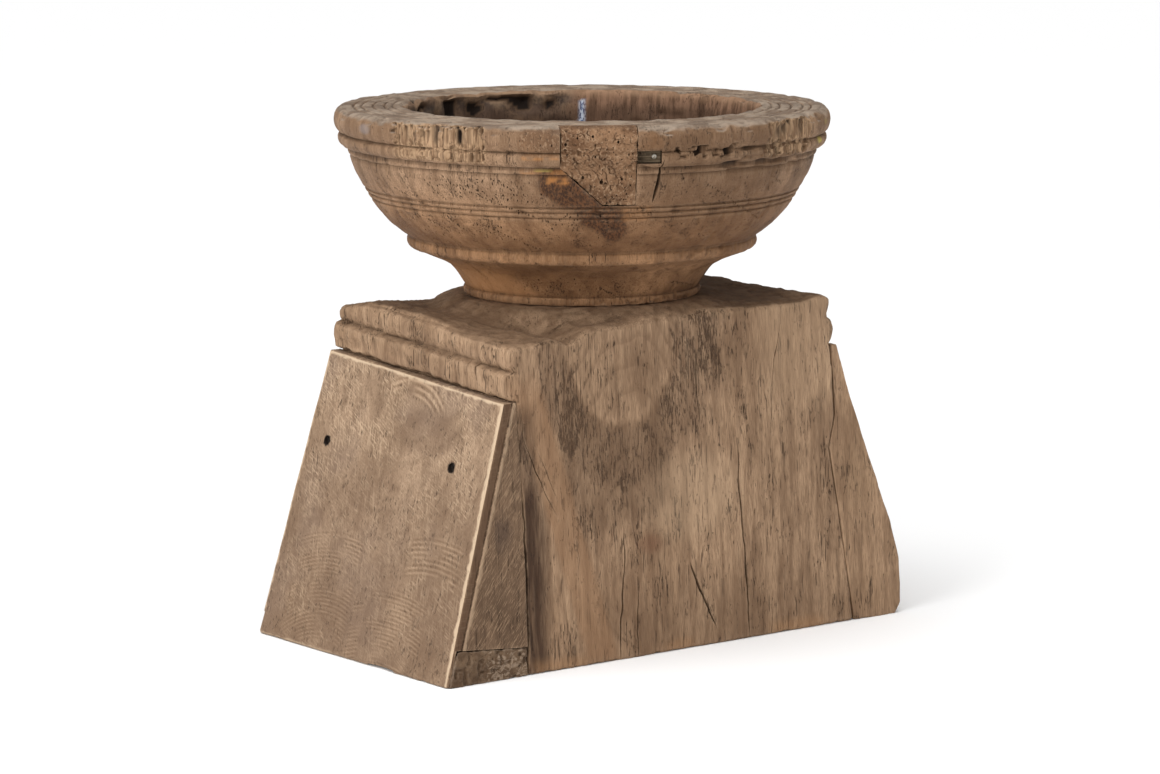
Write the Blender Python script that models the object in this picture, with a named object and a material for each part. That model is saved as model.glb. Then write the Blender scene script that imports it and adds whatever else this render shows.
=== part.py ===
"""Pedestal bowl on a wedge-sided block.

A turned hardwood bowl stands on a short neck. A round tenon under its foot sits in a socket in
the top of a heavy block. A long wedge splays out each side of the block: the left one is faced
with a sawn board and screwed on, the right one is held by two blind dowels. The front of the rim
has been mended with a let-in patch, a small key beside it and a nail, and the left wedge has a
filled corner at the floor.

Metres, +Z up. The front of the block faces -Y, and the origin is on the floor, on the bowl's axis.
"""
import math

import bmesh
import bpy
from mathutils import Vector

# ------------------------------------------------------------------ sizes: block and lip
BLOCK_HALF_WIDTH = 0.182       # the block's upright sides, where the wedges bear
FRONT_AT_FLOOR = 0.150         # from the bowl's axis to the front face at the floor
BACK_AT_FLOOR = 0.1445
FRONT_BATTER = 0.050           # how far the front leans in, per metre of height
BACK_BATTER = 0.064
LIP_BASE = 0.2610              # underside of the two-bead lip
LOWER_BEAD_HEIGHT = 0.0250
LOWER_BEAD_PROUD = 0.0090      # how far the lower bead stands out from the block's side
UPPER_BEAD_HEIGHT = 0.0215
UPPER_BEAD_PROUD = 0.0040
LIP_DROP_FRONT = 0.0185        # the left lip has sunk at the front
LIP_DROP_BACK = 0.0010         # and a little at the back
CROWN_HEIGHT = 0.0025          # the bowl's seat stands this far above the lip's top
CROWN_TOP_MARGIN = 0.0050      # flat ring left around the foot
CROWN_SPREAD = 0.0160          # how much wider the crown is at its foot
CROWN_DEPTH = 0.0140           # how far the crown's cone reaches down

# ------------------------------------------------------------------ sizes: bowl
BOWL_HEIGHT = 0.1720           # seat to rim
RIM_RADIUS = 0.2265            # over the rolled rim
RIM_ROLL_PROUD = 0.0055
RIM_ROLL_HEIGHT = 0.0230
RIM_BEAD_HEIGHT = 0.0130       # second bead, under the roll
QUIRK = 0.0010                 # the narrow step between two beads
RIM_BEAD_PROUD = 0.0040
SHOULDER_INSET = 0.0130        # rim radius less the body's radius under the second bead
FILLET_DROP = 0.0070           # small plain band under the second bead
GROOVE_DEPTH = 0.0016
GROOVE_WIDTH = 0.0024
CURVE_STEP = 0.01              # share of a curve on each side of a point, to find its direction
BODY_GROOVES = (0.32, 0.41, 0.50)   # places down the body's curve, 0 at its top, 1 at the waist
BODY_POINTS_ABOVE = (0.0, 0.10, 0.20)
BODY_POINTS_BELOW = (0.60, 0.70, 0.80, 0.90)
BODY_TOP_HANDLE = (0.10, 0.32)      # share of the body's width and height, from its top
BODY_FOOT_HANDLE = (0.56, 0.28)     # and from the waist
WAIST_RADIUS = 0.1580
WAIST_DROP = 0.1160            # rim to the top of the waist bead
WAIST_BEAD_HEIGHT = 0.0120
WAIST_BEAD_PROUD = 0.0050
WAIST_BEAD_TAPER = 0.0060      # how much narrower the waist bead is at its foot
NECK_RADIUS = 0.1060
NECK_POINTS = (0.15, 0.30, 0.45, 0.60, 0.80, 1.0)
NECK_TOP_HANDLE = (0.35, 0.70)      # share of the neck's width and height, from its foot
NECK_FOOT_HANDLE = (0.13, 0.33)
FOOT_BEAD_HEIGHT = 0.0077
FOOT_BEAD_PROUD = 0.0025
MOUTH_RADIUS = 0.1600
MOUTH_SOFTENING = 0.0030       # the mouth's edge is rubbed back this far
HOLLOW_DEPTH = 0.0970
HOLLOW_FLOOR_RADIUS = 0.1200
WALL_LEAN = 0.0080             # how much narrower the hollow is where its wall starts to turn in
HOLLOW_TURN_STEPS = 4
TURNED_STEPS = 64
SMALL_STEPS = 16               # sides of screws, dowels, the nail and their holes

# ------------------------------------------------------------------ sizes: joints
FIT = 0.0003                   # clearance left between pieces that touch
TENON_RADIUS = 0.0450
TENON_LENGTH = 0.0600
TENON_CHAMFER = 0.0030
SOCKET_EXTRA_DEPTH = 0.0020

# ------------------------------------------------------------------ sizes: wedges
WEDGE_FOOT_WIDTH = 0.0830      # how far each side stands out from the block at the floor
LEFT_TOP_WIDTH = 0.0105        # the left side's wedge and board together, under the lip
RIGHT_TOP_WIDTH = 0.0090
LIP_GAP = 0.0012               # open line between each wedge and the lip above it
BOARD_THICK = 0.0090           # facing board, measured level
BOARD_SETBACK = 0.0012         # its front edge lies this far behind the wedge's front
WORN_EDGE = 0.0040             # the right wedge's softened front edge
RIGHT_WEAR = ((0.0, 0.0045), (0.030, 0.0), (0.058, 0.0))   # height, loss of width near the floor

# ------------------------------------------------------------------ sizes: fixings
SCREW_HEIGHT = 0.1800
SCREW_PLACES = {"wedge_screw_rear": 0.1030, "wedge_screw_front": -0.0850}
SCREW_SHANK_RADIUS = 0.0022
SCREW_HEAD_RADIUS = 0.0037
SCREW_HEAD_HEIGHT = 0.0030
SCREW_HEAD_EDGE = 0.0006       # upright edge of the head, above its countersunk cone
SCREW_LENGTH = 0.0550
SCREW_TIP = 0.0070
SCREW_SLOT_WIDTH = 0.0011
SCREW_SLOT_DEPTH = 0.0012
SCREW_SLOT_TURN = math.radians(35.0)
COUNTERBORE_RADIUS = 0.0041
COUNTERBORE_DEPTH = 0.0060
DOWEL_HEIGHT = 0.1500
DOWEL_PLACES = {"wedge_dowel_rear": 0.0750, "wedge_dowel_front": -0.0750}
DOWEL_RADIUS = 0.0060
DOWEL_CHAMFER = 0.0009
DOWEL_IN_BLOCK = 0.0300
DOWEL_IN_WEDGE = 0.0280

# ------------------------------------------------------------------ sizes: repairs
REPAIR_TURN = math.radians(-34.0)   # the rim repairs face this way, turned from the front
PATCH_LEFT = -0.0345           # patch outline, seen from outside, about the repairs' centre line
PATCH_RIGHT = 0.0330
PATCH_LEFT_DROP = 0.0360       # its left side ends this far below the rim
PATCH_DROP = 0.0710            # and its foot this far
PATCH_TIP = 0.0040             # where the slanted side meets the foot
PATCH_THICK_TOP = 0.0250
PATCH_THICK_FOOT = 0.0200
KEY_WIDTH = 0.0210
KEY_HEIGHT = 0.0110
KEY_TOP_DROP = 0.0215          # rim to the key's top
KEY_SETBACK = 0.0180           # rim radius less the distance of the key's face from the axis
KEY_THICK = 0.0140
KEY_BED_OVERLAP = 0.0010       # the key's bed opens this far into the patch's
NAIL_FROM_KEY_LEFT = 0.0150
NAIL_HEAD_RADIUS = 0.0022
NAIL_HEAD_HEIGHT = 0.0008
NAIL_HEAD_CHAMFER = 0.0004
NAIL_SHANK_RADIUS = 0.0010
NAIL_LENGTH = 0.0260
NAIL_TIP = 0.0030
FILLER_THICK = 0.0140          # depth of the filled corner behind the front face
FILLER_HEIGHT_INNER = 0.0260   # beside the block
FILLER_HEIGHT_OUTER = 0.0320   # at the facing board
FILLER_SKIN = 0.0030           # thickness of board left outside it

# ------------------------------------------------------------------ worked out from the sizes
LIP_TOP = LIP_BASE + LOWER_BEAD_HEIGHT + UPPER_BEAD_HEIGHT
SEAT_HEIGHT = LIP_TOP + CROWN_HEIGHT
FOOT_UNDERSIDE = SEAT_HEIGHT + FIT
RIM_TOP = SEAT_HEIGHT + BOWL_HEIGHT
FOOT_RADIUS = NECK_RADIUS + FOOT_BEAD_PROUD
WEDGE_INNER = BLOCK_HALF_WIDTH + FIT
CLEAR = 0.02                   # how far a cutter runs past the faces that it opens


# ------------------------------------------------------------------ helpers
def clear_scene():
    for thing in list(bpy.data.objects):
        bpy.data.objects.remove(thing, do_unlink=True)


def wood(name, colour, roughness=0.7, metallic=0.0):
    """A plain material in the piece's own colour."""
    material = bpy.data.materials.new(name)
    material.use_nodes = True
    shader = material.node_tree.nodes["Principled BSDF"]
    shader.inputs["Base Color"].default_value = (*colour, 1.0)
    shader.inputs["Roughness"].default_value = roughness
    shader.inputs["Metallic"].default_value = metallic
    return material


def add_object(name, mesh, material=None):
    thing = bpy.data.objects.new(name, mesh)
    bpy.context.scene.collection.objects.link(thing)
    if material:
        mesh.materials.append(material)
    return thing


def as_cutter(thing):
    thing.hide_render = True
    thing.display_type = "WIRE"
    return thing


def mesh_from(name, vertices, faces):
    """A closed mesh from points and faces, with every face turned outwards."""
    mesh = bpy.data.meshes.new(name)
    mesh.from_pydata([tuple(v) for v in vertices], [], faces)
    shell = bmesh.new()
    shell.from_mesh(mesh)
    bmesh.ops.recalc_face_normals(shell, faces=shell.faces)
    shell.to_mesh(mesh)
    shell.free()
    return mesh


def loft(name, rings):
    """Joins rings of equal length into one closed solid, capped at both ends.

    A side that is twisted is folded along the diagonal that starts low at the back, so that two
    pieces which lie against each other are folded alike."""
    count = len(rings[0])
    vertices = [point for ring in rings for point in ring]
    faces = [tuple(range(count))]
    for level in range(len(rings) - 1):
        low = level * count
        high = low + count
        for i in range(count):
            j = (i + 1) % count
            if vertices[low + i][1] > vertices[low + j][1]:
                faces.append((low + i, low + j, high + j))
                faces.append((low + i, high + j, high + i))
            else:
                faces.append((low + i, low + j, high + i))
                faces.append((low + j, high + j, high + i))
    faces.append(tuple(range((len(rings) - 1) * count, len(rings) * count)))
    return mesh_from(name, vertices, faces)


def prism(name, outline, near, far):
    """An upright outline (x, z) carried from y = near to y = far, which may be functions of z."""
    rings = []
    for reach in (near, far):
        rings.append([(x, reach(z) if callable(reach) else reach, z) for x, z in outline])
    return loft(name, rings)


def turned(name, profile, material, steps=TURNED_STEPS):
    """Turns a profile (radius, height), which runs down the outside, about the Z axis."""
    mesh = bpy.data.meshes.new(name)
    edges = [(i, i + 1) for i in range(len(profile) - 1)]
    mesh.from_pydata([(radius, 0.0, height) for radius, height in profile], edges, [])
    thing = add_object(name, mesh, material)
    screw = thing.modifiers.new("turn", "SCREW")
    screw.steps = steps
    screw.render_steps = steps
    screw.use_merge_vertices = True
    screw.merge_threshold = 0.00001
    return thing


def rod(name, radius, start, end, sides=SMALL_STEPS):
    """A round cutter between two points."""
    start = Vector(start)
    end = Vector(end)
    along = end - start
    mesh = bpy.data.meshes.new(name)
    shell = bmesh.new()
    bmesh.ops.create_cone(shell, cap_ends=True, segments=sides, radius1=radius, radius2=radius,
                          depth=along.length)
    shell.to_mesh(mesh)
    shell.free()
    thing = add_object(name, mesh)
    thing.rotation_mode = "QUATERNION"
    thing.rotation_quaternion = Vector((0.0, 0.0, 1.0)).rotation_difference(along)
    thing.location = (start + end) / 2
    return as_cutter(thing)


def combine(thing, other, operation):
    step = thing.modifiers.new(other.name, "BOOLEAN")
    step.operation = operation
    step.solver = "EXACT"
    step.object = other


def bulge(start, end, proud, count):
    """Points from start to end along a half-round that stands proud of the straight line."""
    start = Vector(start)
    end = Vector(end)
    along = (end - start).normalized()
    outward = Vector((-along.y, along.x))
    if outward.x < 0:
        outward = -outward
    points = []
    for i in range(count + 1):
        t = i / count
        points.append(tuple(start.lerp(end, t) + outward * proud * math.sin(math.pi * t)))
    return points


def bezier(a, b, c, d, t):
    a, b, c, d = Vector(a), Vector(b), Vector(c), Vector(d)
    s = 1.0 - t
    return a * s ** 3 + b * 3 * s * s * t + c * 3 * s * t * t + d * t ** 3


def inset(outline, distance):
    """The outline with every side moved inwards by distance; anticlockwise or clockwise."""
    area = sum(a[0] * b[1] - b[0] * a[1] for a, b in zip(outline, outline[1:] + outline[:1]))
    side = distance * math.copysign(1.0, area)
    moved = []
    for i in range(len(outline)):
        before = Vector(outline[i - 1])
        here = Vector(outline[i])
        after = Vector(outline[(i + 1) % len(outline)])
        first = (here - before).normalized()
        second = (after - here).normalized()
        normal_1 = Vector((-first.y, first.x))
        normal_2 = Vector((-second.y, second.x))
        bisector = (normal_1 + normal_2) / (1.0 + normal_1.dot(normal_2))
        moved.append(tuple(here + bisector * side))
    return moved


# ------------------------------------------------------------------ bowl
def groove(point, tangent):
    """Three points that cut a small V into the outside at point."""
    outward = Vector((-tangent.y, tangent.x))
    half = tangent * GROOVE_WIDTH / 2
    return [tuple(point - half), tuple(point - outward * GROOVE_DEPTH), tuple(point + half)]


def body_curve():
    shoulder = (RIM_RADIUS - SHOULDER_INSET, RIM_TOP - RIM_ROLL_HEIGHT - RIM_BEAD_HEIGHT - FILLET_DROP)
    waist = (WAIST_RADIUS, RIM_TOP - WAIST_DROP)
    height = shoulder[1] - waist[1]
    width = shoulder[0] - waist[0]
    upper = (shoulder[0] - width * BODY_TOP_HANDLE[0], shoulder[1] - height * BODY_TOP_HANDLE[1])
    lower = (waist[0] + width * BODY_FOOT_HANDLE[0], waist[1] + height * BODY_FOOT_HANDLE[1])
    return (shoulder, upper, lower, waist)


def rim_outside():
    """Rolled rim and second bead, from the top face down to the shoulder."""
    base = RIM_RADIUS - RIM_ROLL_PROUD
    roll_foot = RIM_TOP - RIM_ROLL_HEIGHT
    bead_foot = roll_foot - RIM_BEAD_HEIGHT
    body = RIM_RADIUS - SHOULDER_INSET
    points = bulge((base, RIM_TOP), (base, roll_foot + QUIRK), RIM_ROLL_PROUD, 6)
    points += bulge((base - QUIRK, roll_foot), (body, bead_foot), RIM_BEAD_PROUD, 5)
    return points


def outside(grooved):
    """The bowl's outside from the rim's top edge to the waist, with or without its grooves."""
    curve = body_curve()
    points = rim_outside()
    if grooved:
        points.append((points[-1][0] - GROOVE_DEPTH, points[-1][1] - GROOVE_WIDTH / 2))
        points.append((points[-1][0] + GROOVE_DEPTH, points[-1][1] - GROOVE_WIDTH))
        points.append((curve[0][0] - GROOVE_DEPTH, curve[0][1] + GROOVE_WIDTH / 2))
    for t in (*BODY_POINTS_ABOVE, *BODY_GROOVES, *BODY_POINTS_BELOW):
        point = bezier(*curve, t)
        if grooved and t in BODY_GROOVES:
            downwards = bezier(*curve, t + CURVE_STEP) - bezier(*curve, t - CURVE_STEP)
            points += groove(point, downwards.normalized())
        else:
            points.append(tuple(point))
    return points


def waist_and_neck():
    top = RIM_TOP - WAIST_DROP
    bead_foot = (WAIST_RADIUS - WAIST_BEAD_TAPER, top - WAIST_BEAD_HEIGHT)
    neck_foot = (NECK_RADIUS, FOOT_UNDERSIDE + FOOT_BEAD_HEIGHT)
    drop = bead_foot[1] - neck_foot[1]
    width = bead_foot[0] - neck_foot[0]
    upper = (neck_foot[0] + width * NECK_TOP_HANDLE[0], neck_foot[1] + drop * NECK_TOP_HANDLE[1])
    lower = (neck_foot[0] + width * NECK_FOOT_HANDLE[0], neck_foot[1] + drop * NECK_FOOT_HANDLE[1])
    points = bulge((WAIST_RADIUS, top), bead_foot, WAIST_BEAD_PROUD, 6)
    for t in NECK_POINTS:
        points.append(tuple(bezier(bead_foot, upper, lower, neck_foot, t)))
    points += bulge(neck_foot, (FOOT_RADIUS, FOOT_UNDERSIDE), FOOT_BEAD_PROUD, 4)[1:]
    return points


def hollow():
    """Floor centre, floor, wall and mouth of the hollow, running outwards."""
    floor = RIM_TOP - HOLLOW_DEPTH
    wall_foot = MOUTH_RADIUS - WALL_LEAN
    turn = wall_foot - HOLLOW_FLOOR_RADIUS
    points = [(0.0, floor)]
    for step in range(HOLLOW_TURN_STEPS + 1):
        angle = math.radians(90.0 * step / HOLLOW_TURN_STEPS)
        points.append((HOLLOW_FLOOR_RADIUS + turn * math.sin(angle), floor + turn * (1 - math.cos(angle))))
    points.append((MOUTH_RADIUS, RIM_TOP - MOUTH_SOFTENING))
    points.append((MOUTH_RADIUS + MOUTH_SOFTENING, RIM_TOP))
    return points


def tenon():
    end = SEAT_HEIGHT - TENON_LENGTH
    return [(TENON_RADIUS, FOOT_UNDERSIDE), (TENON_RADIUS, end + TENON_CHAMFER),
            (TENON_RADIUS - TENON_CHAMFER, end), (0.0, end)]


def make_bowl(material):
    return turned("bowl", hollow() + outside(True) + waist_and_neck() + tenon(), material)


# ------------------------------------------------------------------ block
def face_reach(z, front):
    """Distance of the front or back face from the bowl's axis at height z."""
    return FRONT_AT_FLOOR - FRONT_BATTER * z if front else BACK_AT_FLOOR - BACK_BATTER * z


def lip_drop(front):
    return LIP_DROP_FRONT if front else LIP_DROP_BACK


def block_ring(front):
    """The block's outline at its front or back face, up the right side and down the left."""
    right = [(BLOCK_HALF_WIDTH, 0.0)]
    step = LIP_BASE + LOWER_BEAD_HEIGHT
    right += bulge((BLOCK_HALF_WIDTH, LIP_BASE), (BLOCK_HALF_WIDTH, step), LOWER_BEAD_PROUD, 5)
    right += bulge((BLOCK_HALF_WIDTH - QUIRK, step + QUIRK), (BLOCK_HALF_WIDTH - QUIRK, LIP_TOP),
                   UPPER_BEAD_PROUD, 4)
    ring = list(right)
    for x, z in reversed(right):
        ring.append((-x, z - lip_drop(front) if z >= LIP_BASE else z))
    side = -1.0 if front else 1.0
    return [(x, side * face_reach(z, front), z) for x, z in ring]


def make_block(material):
    block = add_object("block", loft("block", [block_ring(True), block_ring(False)]), material)
    crown = bpy.data.meshes.new("crown")
    shell = bmesh.new()
    bmesh.ops.create_cone(shell, cap_ends=True, segments=TURNED_STEPS,
                          radius1=FOOT_RADIUS + CROWN_TOP_MARGIN + CROWN_SPREAD,
                          radius2=FOOT_RADIUS + CROWN_TOP_MARGIN, depth=CROWN_DEPTH)
    shell.to_mesh(crown)
    shell.free()
    crown_cone = as_cutter(add_object("crown", crown))
    crown_cone.location.z = SEAT_HEIGHT - CROWN_DEPTH / 2
    combine(block, crown_cone, "UNION")
    socket = rod("socket", TENON_RADIUS + FIT, (0.0, 0.0, SEAT_HEIGHT - TENON_LENGTH - SOCKET_EXTRA_DEPTH),
                 (0.0, 0.0, SEAT_HEIGHT + CLEAR), sides=TURNED_STEPS)
    combine(block, socket, "DIFFERENCE")
    return block


# ------------------------------------------------------------------ wedges
def wedge_ring(side, inner, outer, front_z, back_z, edge=0.0, setback=0.0):
    """One level of a wedge or board, side -1 left or 1 right; inner and outer give the distance
    of its two faces from the centre at a height, at the front or at the back."""
    front = setback - face_reach(front_z, True)
    back = face_reach(back_z, False)
    ring = [(side * inner(back_z, False), back, back_z), (side * outer(back_z, False), back, back_z)]
    if edge:
        ring.append((side * outer(front_z, True), front + edge, front_z))
    ring.append((side * (outer(front_z, True) - edge), front, front_z))
    ring.append((side * inner(front_z, True), front, front_z))
    return ring


def block_side(z, front):
    """The face that both wedges bear on is upright."""
    return WEDGE_INNER


def left_top(front):
    """Height of the left wedge's top, under the sunken lip."""
    return LIP_BASE - lip_drop(front) - LIP_GAP


def left_outer(z, front):
    """Distance of the left side's outer face from the centre at height z."""
    return WEDGE_INNER + WEDGE_FOOT_WIDTH + (LEFT_TOP_WIDTH - WEDGE_FOOT_WIDTH) * z / left_top(front)


def board_inner(z, front):
    return left_outer(z, front) - BOARD_THICK


def left_wedge_outer(z, front):
    return board_inner(z, front) - FIT


def left_rings(inner, outer, setback=0.0):
    """Foot and top of a piece on the left side."""
    return [wedge_ring(-1.0, inner, outer, 0.0, 0.0, setback=setback),
            wedge_ring(-1.0, inner, outer, left_top(True), left_top(False), setback=setback)]


def right_wedge_rings():
    """The right wedge keeps its full width near the floor, then slopes in to the lip."""
    foot = WEDGE_INNER + WEDGE_FOOT_WIDTH
    top_z = LIP_BASE - LIP_GAP
    levels = [(height, foot - loss) for height, loss in RIGHT_WEAR]
    levels.append((top_z, WEDGE_INNER + RIGHT_TOP_WIDTH))
    rings = []
    for height, reach in levels:
        rings.append(wedge_ring(1.0, block_side, lambda z, front: reach, height, height, edge=WORN_EDGE))
    return rings


def make_corner_filler(material, wedge, board):
    """The filled corner low on the front: its bed, cut in wedge and board, and its solid."""
    def skin_x(z):
        return FILLER_SKIN - left_outer(z, True)

    def front(z):
        return -face_reach(z, True)

    def bed(z):
        return FILLER_THICK - face_reach(z, True)

    def back(z):
        return bed(z) - FIT

    opening = [(-WEDGE_INNER + CLEAR, -CLEAR), (-WEDGE_INNER + CLEAR, FILLER_HEIGHT_INNER),
               (-WEDGE_INNER, FILLER_HEIGHT_INNER), (skin_x(FILLER_HEIGHT_OUTER), FILLER_HEIGHT_OUTER),
               (skin_x(-CLEAR), -CLEAR)]
    pocket = as_cutter(add_object("filler_pocket", prism("filler_pocket", opening,
                                                         -FRONT_AT_FLOOR - CLEAR, bed)))
    combine(wedge, pocket, "DIFFERENCE")
    combine(board, pocket, "DIFFERENCE")
    outline = [(-WEDGE_INNER, 0.0), (-WEDGE_INNER, FILLER_HEIGHT_INNER - FIT),
               (skin_x(FILLER_HEIGHT_OUTER) + FIT, FILLER_HEIGHT_OUTER - FIT), (skin_x(0.0) + FIT, 0.0)]
    add_object("corner_filler", prism("corner_filler", outline, front, back), material)


def make_wedges(sawn, worn):
    wedge = add_object("wedge_left", loft("wedge_left", left_rings(block_side, left_wedge_outer)), sawn)
    board_shape = loft("facing_board", left_rings(board_inner, left_outer, BOARD_SETBACK))
    board = add_object("facing_board", board_shape, sawn)
    right = add_object("wedge_right", loft("wedge_right", right_wedge_rings()), worn)
    return wedge, board, right


# ------------------------------------------------------------------ fixings
def make_screw(name, y, material, board, wedge, block):
    """A slotted wood screw at the bottom of its counterbore, driven inwards along X."""
    share = (y + FRONT_AT_FLOOR) / (FRONT_AT_FLOOR + BACK_AT_FLOOR)
    face = (1 - share) * left_outer(SCREW_HEIGHT, True) + share * left_outer(SCREW_HEIGHT, False)
    seat = face - COUNTERBORE_DEPTH
    profile = [(0.0, 0.0), (SCREW_HEAD_RADIUS, 0.0), (SCREW_HEAD_RADIUS, -SCREW_HEAD_EDGE),
               (SCREW_SHANK_RADIUS, -SCREW_HEAD_HEIGHT), (SCREW_SHANK_RADIUS, SCREW_TIP - SCREW_LENGTH),
               (0.0, -SCREW_LENGTH)]
    screw = turned(name, profile, material, SMALL_STEPS)
    screw.location = (-(seat + SCREW_HEAD_HEIGHT + FIT), y, SCREW_HEIGHT)
    screw.rotation_euler = (0.0, math.radians(-90.0), 0.0)
    slot = bpy.data.meshes.new(name + "_slot")
    shell = bmesh.new()
    bmesh.ops.create_cube(shell, size=1.0)
    bmesh.ops.scale(shell, verts=shell.verts,
                    vec=(SCREW_HEAD_RADIUS * 4, SCREW_SLOT_WIDTH, SCREW_SLOT_DEPTH * 2))
    shell.to_mesh(slot)
    shell.free()
    slot_cutter = as_cutter(add_object(name + "_slot", slot))
    slot_cutter.parent = screw
    slot_cutter.rotation_euler.z = SCREW_SLOT_TURN
    combine(screw, slot_cutter, "DIFFERENCE")
    counterbore = rod(name + "_counterbore", COUNTERBORE_RADIUS, (-seat, y, SCREW_HEIGHT),
                      (-face - CLEAR, y, SCREW_HEIGHT), sides=24)
    hole = rod(name + "_hole", SCREW_SHANK_RADIUS + FIT, (-face - CLEAR, y, SCREW_HEIGHT),
               (-(seat - SCREW_LENGTH - FIT), y, SCREW_HEIGHT))
    combine(board, counterbore, "DIFFERENCE")
    for piece in (board, wedge, block):
        combine(piece, hole, "DIFFERENCE")


def make_dowel(name, y, material, wedge, block):
    """A blind dowel across the joint between the block and the right wedge."""
    start = BLOCK_HALF_WIDTH - DOWEL_IN_BLOCK
    end = WEDGE_INNER + DOWEL_IN_WEDGE
    length = end - start
    tip = DOWEL_RADIUS - DOWEL_CHAMFER
    profile = [(0.0, length), (tip, length), (DOWEL_RADIUS, length - DOWEL_CHAMFER),
               (DOWEL_RADIUS, DOWEL_CHAMFER), (tip, 0.0), (0.0, 0.0)]
    dowel = turned(name, profile, material, SMALL_STEPS)
    dowel.location = (start, y, DOWEL_HEIGHT)
    dowel.rotation_euler = (0.0, math.radians(90.0), 0.0)
    hole = rod(name + "_hole", DOWEL_RADIUS + FIT, (start - FIT, y, DOWEL_HEIGHT),
               (end + FIT, y, DOWEL_HEIGHT))
    combine(wedge, hole, "DIFFERENCE")
    combine(block, hole, "DIFFERENCE")


# ------------------------------------------------------------------ rim repairs
def patch_outline():
    """The patch seen from outside; its top stays open above the rim."""
    foot = RIM_TOP - PATCH_DROP
    return [(PATCH_LEFT, RIM_TOP + CLEAR), (PATCH_LEFT, RIM_TOP - PATCH_LEFT_DROP), (PATCH_TIP, foot),
            (PATCH_RIGHT, foot), (PATCH_RIGHT, RIM_TOP + CLEAR)]


def patch_bed(extra):
    """Distance, to the front, of the patch's inner face at height z."""
    top = RIM_RADIUS - PATCH_THICK_TOP
    foot_outside = bezier(*body_curve(), BODY_GROOVES[1]).x
    foot = foot_outside - PATCH_THICK_FOOT

    def reach(z):
        share = (RIM_TOP - z) / PATCH_DROP
        return -(top + (foot - top) * share + extra)
    return reach


def in_repair_frame(thing, repairs):
    thing.parent = repairs
    return thing


def make_rim_repairs(bowl, patch_material, key_material, nail_material):
    repairs = bpy.data.objects.new("rim_repairs", None)
    bpy.context.scene.collection.objects.link(repairs)
    repairs.rotation_euler.z = REPAIR_TURN
    reach = RIM_RADIUS + CLEAR

    pocket = prism("patch_pocket", patch_outline(), -reach, patch_bed(0.0))
    pocket_cutter = in_repair_frame(as_cutter(add_object("patch_pocket", pocket)), repairs)
    combine(bowl, pocket_cutter, "DIFFERENCE")
    blank = [(0.0, RIM_TOP)] + outside(False) + [(WAIST_RADIUS, RIM_TOP - WAIST_DROP),
                                                 (0.0, RIM_TOP - WAIST_DROP)]
    patch = turned("rim_patch", blank, patch_material)
    shape = prism("patch_shape", inset(patch_outline(), FIT), -reach, patch_bed(FIT))
    shape_cutter = in_repair_frame(as_cutter(add_object("patch_shape", shape)), repairs)
    combine(patch, shape_cutter, "INTERSECT")

    face = RIM_RADIUS - KEY_SETBACK
    key_left = PATCH_RIGHT
    key_right = key_left + KEY_WIDTH
    key_top = RIM_TOP - KEY_TOP_DROP
    key_foot = key_top - KEY_HEIGHT
    key_outline = [(key_left, key_foot), (key_right, key_foot), (key_right, key_top), (key_left, key_top)]
    key = in_repair_frame(add_object("rim_key", prism("rim_key", key_outline, -face, KEY_THICK - face),
                                     key_material), repairs)
    bed_left = key_left - KEY_BED_OVERLAP
    bed_outline = [(bed_left, key_foot - FIT), (key_right + FIT, key_foot - FIT),
                   (key_right + FIT, key_top + FIT), (bed_left, key_top + FIT)]
    bed = prism("key_pocket", bed_outline, -reach, KEY_THICK + FIT - face)
    bed_cutter = in_repair_frame(as_cutter(add_object("key_pocket", bed)), repairs)
    combine(bowl, bed_cutter, "DIFFERENCE")

    nail_x = key_left + NAIL_FROM_KEY_LEFT
    nail_z = (key_top + key_foot) / 2
    profile = [(0.0, NAIL_HEAD_HEIGHT), (NAIL_HEAD_RADIUS - NAIL_HEAD_CHAMFER, NAIL_HEAD_HEIGHT),
               (NAIL_HEAD_RADIUS, NAIL_HEAD_HEIGHT - NAIL_HEAD_CHAMFER), (NAIL_HEAD_RADIUS, 0.0),
               (NAIL_SHANK_RADIUS, 0.0), (NAIL_SHANK_RADIUS, NAIL_TIP - NAIL_LENGTH), (0.0, -NAIL_LENGTH)]
    nail = in_repair_frame(turned("rim_nail", profile, nail_material, SMALL_STEPS), repairs)
    nail.location = (nail_x, -face - FIT, nail_z)
    nail.rotation_euler = (math.radians(90.0), 0.0, 0.0)
    nail_hole = rod("nail_hole", NAIL_SHANK_RADIUS + FIT, (nail_x, -reach, nail_z),
                    (nail_x, NAIL_LENGTH + FIT - face, nail_z))
    in_repair_frame(nail_hole, repairs)
    combine(key, nail_hole, "DIFFERENCE")
    combine(bowl, nail_hole, "DIFFERENCE")


# ------------------------------------------------------------------ the object
def main():
    clear_scene()
    turned_wood = wood("turned_wood", (0.260, 0.170, 0.105), 0.75)
    block_wood = wood("block_wood", (0.290, 0.195, 0.120), 0.75)
    sawn_wood = wood("sawn_wood", (0.370, 0.270, 0.185), 0.80)
    patch_wood = wood("patch_wood", (0.380, 0.255, 0.155), 0.80)
    key_wood = wood("key_wood", (0.170, 0.145, 0.105), 0.70)
    peg_wood = wood("peg_wood", (0.420, 0.300, 0.190), 0.70)
    filler_paste = wood("filler_paste", (0.480, 0.390, 0.290), 0.85)
    old_steel = wood("old_steel", (0.230, 0.215, 0.200), 0.45, 0.9)

    bowl = make_bowl(turned_wood)
    block = make_block(block_wood)
    wedge_left, facing_board, wedge_right = make_wedges(sawn_wood, block_wood)
    make_corner_filler(filler_paste, wedge_left, facing_board)
    for name, y in SCREW_PLACES.items():
        make_screw(name, y, old_steel, facing_board, wedge_left, block)
    for name, y in DOWEL_PLACES.items():
        make_dowel(name, y, peg_wood, wedge_right, block)
    make_rim_repairs(bowl, patch_wood, key_wood, old_steel)


main()
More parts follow.
